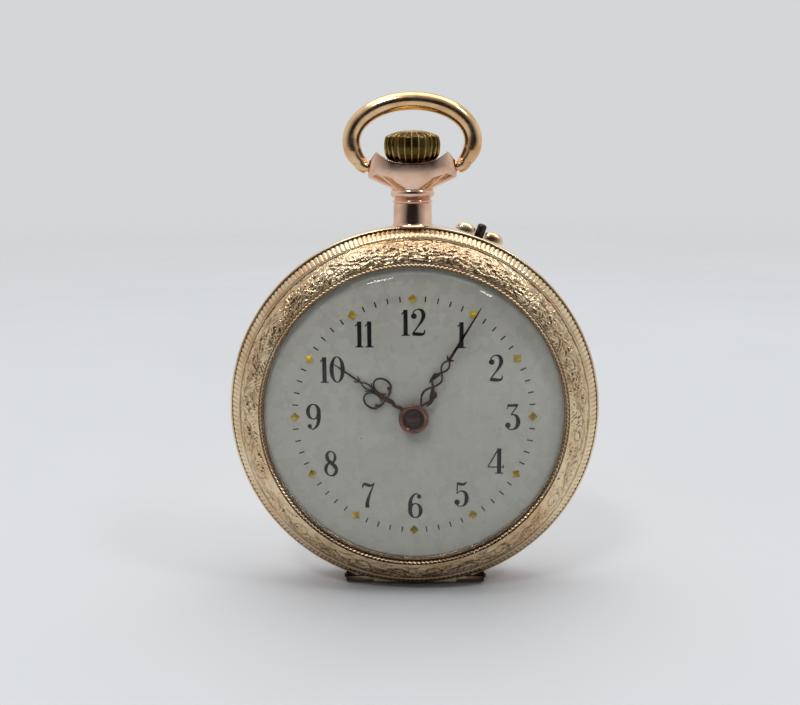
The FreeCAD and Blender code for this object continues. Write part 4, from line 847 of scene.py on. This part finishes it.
def dial_pieces():
    profile = [(0.75, 6.42), (0.77, 6.4), (13.36, 6.4), (13.4, 6.44), (13.4, 6.9), (13.36, 6.97), (13.28, 7.0),
               (9.0, 7.0), (5.0, 7.0), (0.85, 7.0), (0.79, 6.98), (0.75, 6.94)]
    turned("dial_disc", profile, 288, "enamel", "case", "enamel", ("dial",))

    # twelve pyramid studs, set by hand and so not all square to the centre
    parts = []
    for hour in range(12):
        half = 0.40
        corners = ((0, half), (half, 0), (0, -half), (-half, 0))
        base = np.array([(x, y, z) for z in (DIAL_Z, DIAL_Z + 0.05) for x, y in corners] + [(0, 0, DIAL_Z + 0.19)])
        faces = [(0, 1, 5, 4), (1, 2, 6, 5), (2, 3, 7, 6), (3, 0, 4, 7), (4, 5, 8), (5, 6, 8), (6, 7, 8), (7, 4, 8),
                 (3, 2, 1, 0)]
        base = rot(base, SET_TURN[hour])
        base[:, 1] += 10.1
        parts.append((rot(base, 30 * hour), turned_over(faces)))
    joined("hour_studs", parts, "marker_gold", "case", "yellow_gold", ("hour_markers",), None, 20)

    # minute strokes
    parts = []
    for minute in range(60):
        if minute % 5 == 0:
            continue
        line = rot(np.array([(0, 9.86), (0, 10.35)]), 6 * minute)
        parts.append(ribbon(line, [0.115, 0.115], *INK))
    joined("minute_strokes", parts, "ink", "case", "enamel", (), None, 40)

    glyphs = numeral_strokes()
    tall = 2.25
    centres = {1: (4.05, 7.06), 2: (6.96, 4.20), 3: (8.40, -0.04), 4: (7.0, -3.90), 5: (4.09, -6.88),
               6: (0.10, -7.92), 7: (-3.93, -7.0), 8: (-7.12, -4.12), 9: (-8.52, 0.02), 10: (-6.83, 4.13),
               11: (-4.07, 7.16), 12: (0.05, 8.13)}
    for number, (across, upward) in centres.items():
        text = str(number)
        gap = 0.05
        wide = sum(glyphs[digit][0] for digit in text) + gap * (len(text) - 1)
        left = -wide / 2
        parts = []
        for digit in text:
            for stroke in glyphs[digit][1]:
                line = np.stack([across + (left + stroke[:, 0]) * tall, upward + (stroke[:, 1] - 0.5) * tall], -1)
                parts.append(ribbon(line, (stroke[:, 2] * 1.12 + 0.014) * tall, *INK))
            left += glyphs[digit][0] + gap
        joined(f"numeral_{number:02d}", parts, "ink", "case", "enamel", (), None, 40)

    # old hairlines in the enamel, and one dark speck
    lines = [[(-1.4, 2.0, 0.03), (-2.6, 4.4, 0.05), (-3.1, 6.0, 0.04), (-4.3, 9.2, 0.05), (-4.9, 11.4, 0.03)],
             [(0.9, -1.5, 0.03), (3.2, -3.0, 0.05), (6.4, -4.9, 0.05), (9.9, -6.6, 0.03)]]
    parts = []
    for line in lines:
        walk = smooth_line(line, 60)
        parts.append(ribbon(walk[:, :2], walk[:, 2], 6.995, 0.008, 0.5))
    joined("enamel_hairlines", parts, "hairline", "case", "enamel", (), None, 60)
    turn = np.linspace(0, TAU, 13)[:-1]
    speck = [np.stack([-4.5 + r * np.cos(turn), -1.9 + r * np.sin(turn), np.full(12, z)], -1)
             for r, z in ((0.07, 6.99), (0.06, 7.015), (0.001, 7.02))]
    piece("enamel_speck", np.array(speck).reshape(-1, 3), net(3, 12, False, True), "speck", "case", "enamel", (),
          None, 60, True)


# --- hands
def filed(strokes, angle, base, thickness):
    parts = []
    for stroke in strokes:
        stroke = np.asarray(stroke, float)
        parts.append(ribbon(rot(stroke[:, :2], angle), stroke[:, 2] * 1.22, base, thickness))
    return parts


def mirrored(strokes):
    return [np.asarray(stroke, float) * (-1, 1, 1) for stroke in strokes]


def ring_collar(outer, inner, base, top):
    around = 96
    profile = [(inner, base), (outer, base), (outer, top - 0.03), (outer - 0.03, top), (inner + 0.02, top),
               (inner, top - 0.02)]
    return lathe(profile, around), net(around, len(profile), True, True)


def hand_pieces():
    # hour hand: twisted stem, two open C scrolls, a leaf loop, barbs and a fine tip
    c_scroll = smooth_line([(0.20, 2.62, 0.10), (0.46, 2.62, 0.16), (0.80, 2.72, 0.20), (0.95, 2.92, 0.20),
                            (0.80, 3.02, 0.12)], 40)
    c_ring = []
    for turn in np.linspace(-1.05, 4.1, 60):
        share = (turn + 1.05) / 5.15
        c_ring.append((0.74 + 0.62 * math.cos(turn), 3.42 + 0.74 * math.sin(turn), 0.15 - 0.06 * share))
    barb = smooth_line([(0.1, 3.5, 0.12), (0.18, 4.0, 0.1), (0.44, 4.32, 0.07)], 16)
    half = [c_ring, c_scroll, barb]
    leaf = []
    for turn in np.linspace(-math.pi / 2, 1.5 * math.pi, 50):
        leaf.append((0.20 * math.cos(turn), 4.42 + 0.46 * math.sin(turn), 0.10))
    middle = [
        smooth_line([(0.0, 0.9, 0.34), (0.06, 1.3, 0.26), (-0.06, 1.7, 0.20), (0.06, 2.1, 0.30), (0.0, 2.6, 0.34),
                     (0.0, 3.0, 0.30), (0.0, 3.6, 0.22), (0.0, 4.0, 0.16)], 60),
        smooth_line([(0.0, 4.86, 0.16), (0.0, 5.3, 0.13), (0.0, 6.2, 0.12), (0.0, 7.0, 0.09), (0.0, 7.55, 0.04)], 30),
        smooth_line([(-0.30, 5.50, 0.04), (-0.12, 5.24, 0.12), (0.0, 5.18, 0.14), (0.12, 5.24, 0.12),
                     (0.30, 5.50, 0.04)], 24),
        leaf]
    whole = [np.asarray(stroke, float) * (1, 1.075, 1) for stroke in half + mirrored(half) + middle]
    parts = filed(whole, 304.7, 7.2, 0.12)
    parts.append(ring_collar(1.12, 0.45, 7.2, 7.32))
    joined("hour_hand_scrolls", parts, "hand_copper", "hour_hand", "hand_copper", ("hour_hand",), None, 50)

    # minute hand: a chain of crossed loops, each smaller than the last, then a tapered blade
    def strand(side):
        result = []
        for place in np.linspace(0, 1, 120):
            along = 1.15 + 4.7 * place
            swing = math.sin(3 * math.pi * place ** 1.3)
            result.append((side * (0.50 - 0.22 * place) * swing, along, 0.16 - 0.03 * place))
        return result
    lumps = [smooth_line([(0.40, 1.45, 0.10), (0.52, 1.95, 0.26), (0.34, 2.5, 0.34), (0.06, 3.0, 0.20)], 24),
             smooth_line([(0.62, 2.25, 0.05), (0.60, 2.62, 0.20), (0.40, 2.80, 0.20), (0.16, 2.7, 0.1)], 20),
             smooth_line([(-0.42, 3.30, 0.06), (-0.40, 3.72, 0.26), (-0.24, 4.05, 0.24), (-0.02, 4.4, 0.12)], 24),
             smooth_line([(-0.50, 3.90, 0.05), (-0.44, 4.15, 0.15), (-0.28, 4.25, 0.14), (-0.1, 4.2, 0.1)], 20),
             smooth_line([(-0.38, 6.12, 0.04), (-0.17, 5.88, 0.16), (0.0, 5.84, 0.2), (0.17, 5.88, 0.16),
                          (0.38, 6.02, 0.04)], 24),
             smooth_line([(0.0, 5.7, 0.16), (0.0, 5.95, 0.18), (0.0, 7.6, 0.155), (0.0, 9.3, 0.12),
                          (0.0, 10.5, 0.08), (0.0, 11.0, 0.045)], 40)]
    parts = filed([strand(1), strand(-1)] + lumps, 31.2, 7.46, 0.12)
    parts.append(ring_collar(1.05, 0.3, 7.46, 7.58))
    joined("minute_hand_chain", parts, "hand_copper", "minute_hand", "hand_copper", ("minute_hand",), None, 50)

    # boss: stepped dome with a slotted pipe end
    profile = [(0.0, 7.58), (1.2, 7.58), (1.24, 7.66)]
    profile += arc((1.24, 7.66), (1.05, 7.96), (0.86, 7.78), 16)[1:]
    profile += [(0.83, 7.66), (0.76, 7.64), (0.72, 7.66), (0.70, 7.78)]
    profile += arc((0.69, 7.80), (0.56, 7.95), (0.36, 8.02), 10)
    profile += [(0.33, 7.98), (0.31, 7.88), (0.27, 7.88), (0.25, 8.0), (0.18, 8.06), (0.0, 8.08)]
    # painted shade: the groove round the inner dome and the narrow ring in the pipe end are painted near black; the
    # inner dome is given a darker copper than the outer ring
    mark = [0.1 if r > 0.9 else 1.0 if r > 0.7 else 0.8 if r > 0.34 else 1.0 if r > 0.26 else 0.3
            for r, _ in profile]
    turned("hand_boss_dome", profile, 128, "boss_copper", "minute_hand", "hand_copper", ("hand_boss",), closed=False,
           sharp=60, cut=mark)


bezel_pieces()
crystal_piece()
band_pieces()
back_pieces()
pendant_piece()
bow_piece()
crown_piece()
guard_pieces()
dial_pieces()
hand_pieces()

# --- CAD pieces that stay
KEEP = {
    "gilt_plate": ["mainplate", "barrel_bridge", "centre_bridge", "third_cock", "fourth_cock", "escape_cock",
                   "balance_cock", "stem_sleeve"],
    "train_brass": ["barrel_drum", "barrel_lid", "centre_wheel", "third_wheel", "fourth_wheel", "minute_wheel",
                    "hour_wheel", "balance_wheel"],
    "blued_steel": ["bridge_screws", "case_screws", "ratchet_screw", "hairspring", "mainspring", "hairspring_stud"],
    "ruby": ["train_jewels", "balance_cap_jewel"],
    "dark_steel": ["bezel_hinge_pin", "cover_hinge_pin"],
}
finish_of = {node: finish for finish, names in KEEP.items() for node in names}
for node, thing in frame["nodes"].items():
    material = MAT[finish_of.get(node, "polished_steel")]
    if not thing.data.materials:
        thing.data.materials.append(material)
    for index in range(len(thing.material_slots)):
        thing.material_slots[index].link = "OBJECT"
        thing.material_slots[index].material = material

# --- floor, lights, camera
def floor():
    material, nodes, links, shader = new_material("floor_paper", IOR=1.45)
    coords = object_coords(nodes)
    links.new(ramp(nodes, links, noise(nodes, links, coords, 8, 3),
                   [(0.3, rgb(198, 200, 202)), (0.7, rgb(203, 205, 207))]), shader.inputs["Base Color"])
    links.new(spread(nodes, links, noise(nodes, links, coords, 60, 3), 0.45, 0.6), shader.inputs["Roughness"])
    # the sheet fades out into the plain surroundings well away from the watch
    far = nodes.new("ShaderNodeVectorMath")
    far.operation = "LENGTH"
    links.new(coords, far.inputs[0])
    fade = add_node(nodes, "MapRange", From_Min=0.16, From_Max=0.55)
    fade.interpolation_type = "SMOOTHSTEP"
    links.new(far.outputs["Value"], fade.inputs["Value"])
    see_through(nodes, links, shader, fade.outputs["Result"], (1, 1, 1, 1))
    mesh = bpy.data.meshes.new("floor")
    level, reach = cad_box[0][2], 0.56
    mesh.from_pydata([(x, y, level) for x, y in ((-reach, -reach), (reach, -reach), (reach, reach), (-reach, reach))],
                     [], [(0, 1, 2, 3)])
    sheet = add_object("floor", mesh)
    mesh.materials.append(material)


def world():
    studio = bpy.data.worlds.new("studio")
    studio.use_nodes = True
    nodes, links = studio.node_tree.nodes, studio.node_tree.links
    background = nodes["Background"]
    direction = nodes.new("ShaderNodeTexCoord").outputs["Generated"]
    split = nodes.new("ShaderNodeSeparateXYZ")
    links.new(direction, split.inputs["Vector"])
    # a bright room with a dark strip behind the viewer
    facing = spread(nodes, links, split.outputs["Y"], 0.0, 1.0, -1.0, 0.0)
    shade = ramp(nodes, links, facing,
                 [(0.0, (0.015, 0.015, 0.017, 1)), (0.14, (0.03, 0.03, 0.033, 1)), (0.26, (0.22, 0.22, 0.23, 1)),
                  (0.6, (0.50, 0.50, 0.51, 1)), (1.0, (0.74, 0.75, 0.76, 1))])
    seen = nodes.new("ShaderNodeLightPath").outputs["Is Camera Ray"]
    links.new(mixed_colour(nodes, links, seen, shade, (0.66, 0.67, 0.68, 1)), background.inputs["Color"])
    bpy.context.scene.world = studio


def soft_box(name, place, target, wide, tall, strength, spin=0.0):
    lamp = bpy.data.lights.new(name, "AREA")
    lamp.shape = "RECTANGLE"
    lamp.size, lamp.size_y = wide, tall
    lamp.energy = strength * math.pi * wide * tall
    made = add_object(name, lamp)
    heading = Vector(target) - Vector(place)
    made.matrix_world = (Matrix.Translation(place) @ heading.to_track_quat("-Z", "Y").to_matrix().to_4x4()
                         @ Matrix.Rotation(math.radians(spin), 4, "Z"))


floor()
world()
WATCH = (0, 0, 0.005)
soft_box("window_left", (-0.16, -0.34, 0.50), WATCH, 0.12, 0.07, 26)
soft_box("window_right", (0.34, -0.20, 0.46), WATCH, 0.09, 0.06, 24, 20)
soft_box("ceiling", (0.0, 0.12, 0.75), (0, 0.1, 0), 0.9, 0.7, 1.7)

EYE = (0.0012046, -0.08943, 0.021775)
camera = add_object("camera", bpy.data.cameras.new("camera"))
camera.data.lens = 45
camera.data.sensor_width = 36
camera.data.clip_start = 0.001
right = Vector((0.99961, 0.02607, -0.0097)).normalized()
look = Vector((-0.02746, 0.98082, -0.19295)).normalized()
up = right.cross(look).normalized()
right = look.cross(up).normalized()
turn = Matrix((right, up, -look)).transposed().to_4x4()
camera.matrix_world = Matrix.Translation(EYE) @ turn
bpy.context.scene.camera = camera
bpy.context.scene.view_settings.view_transform = "Standard"
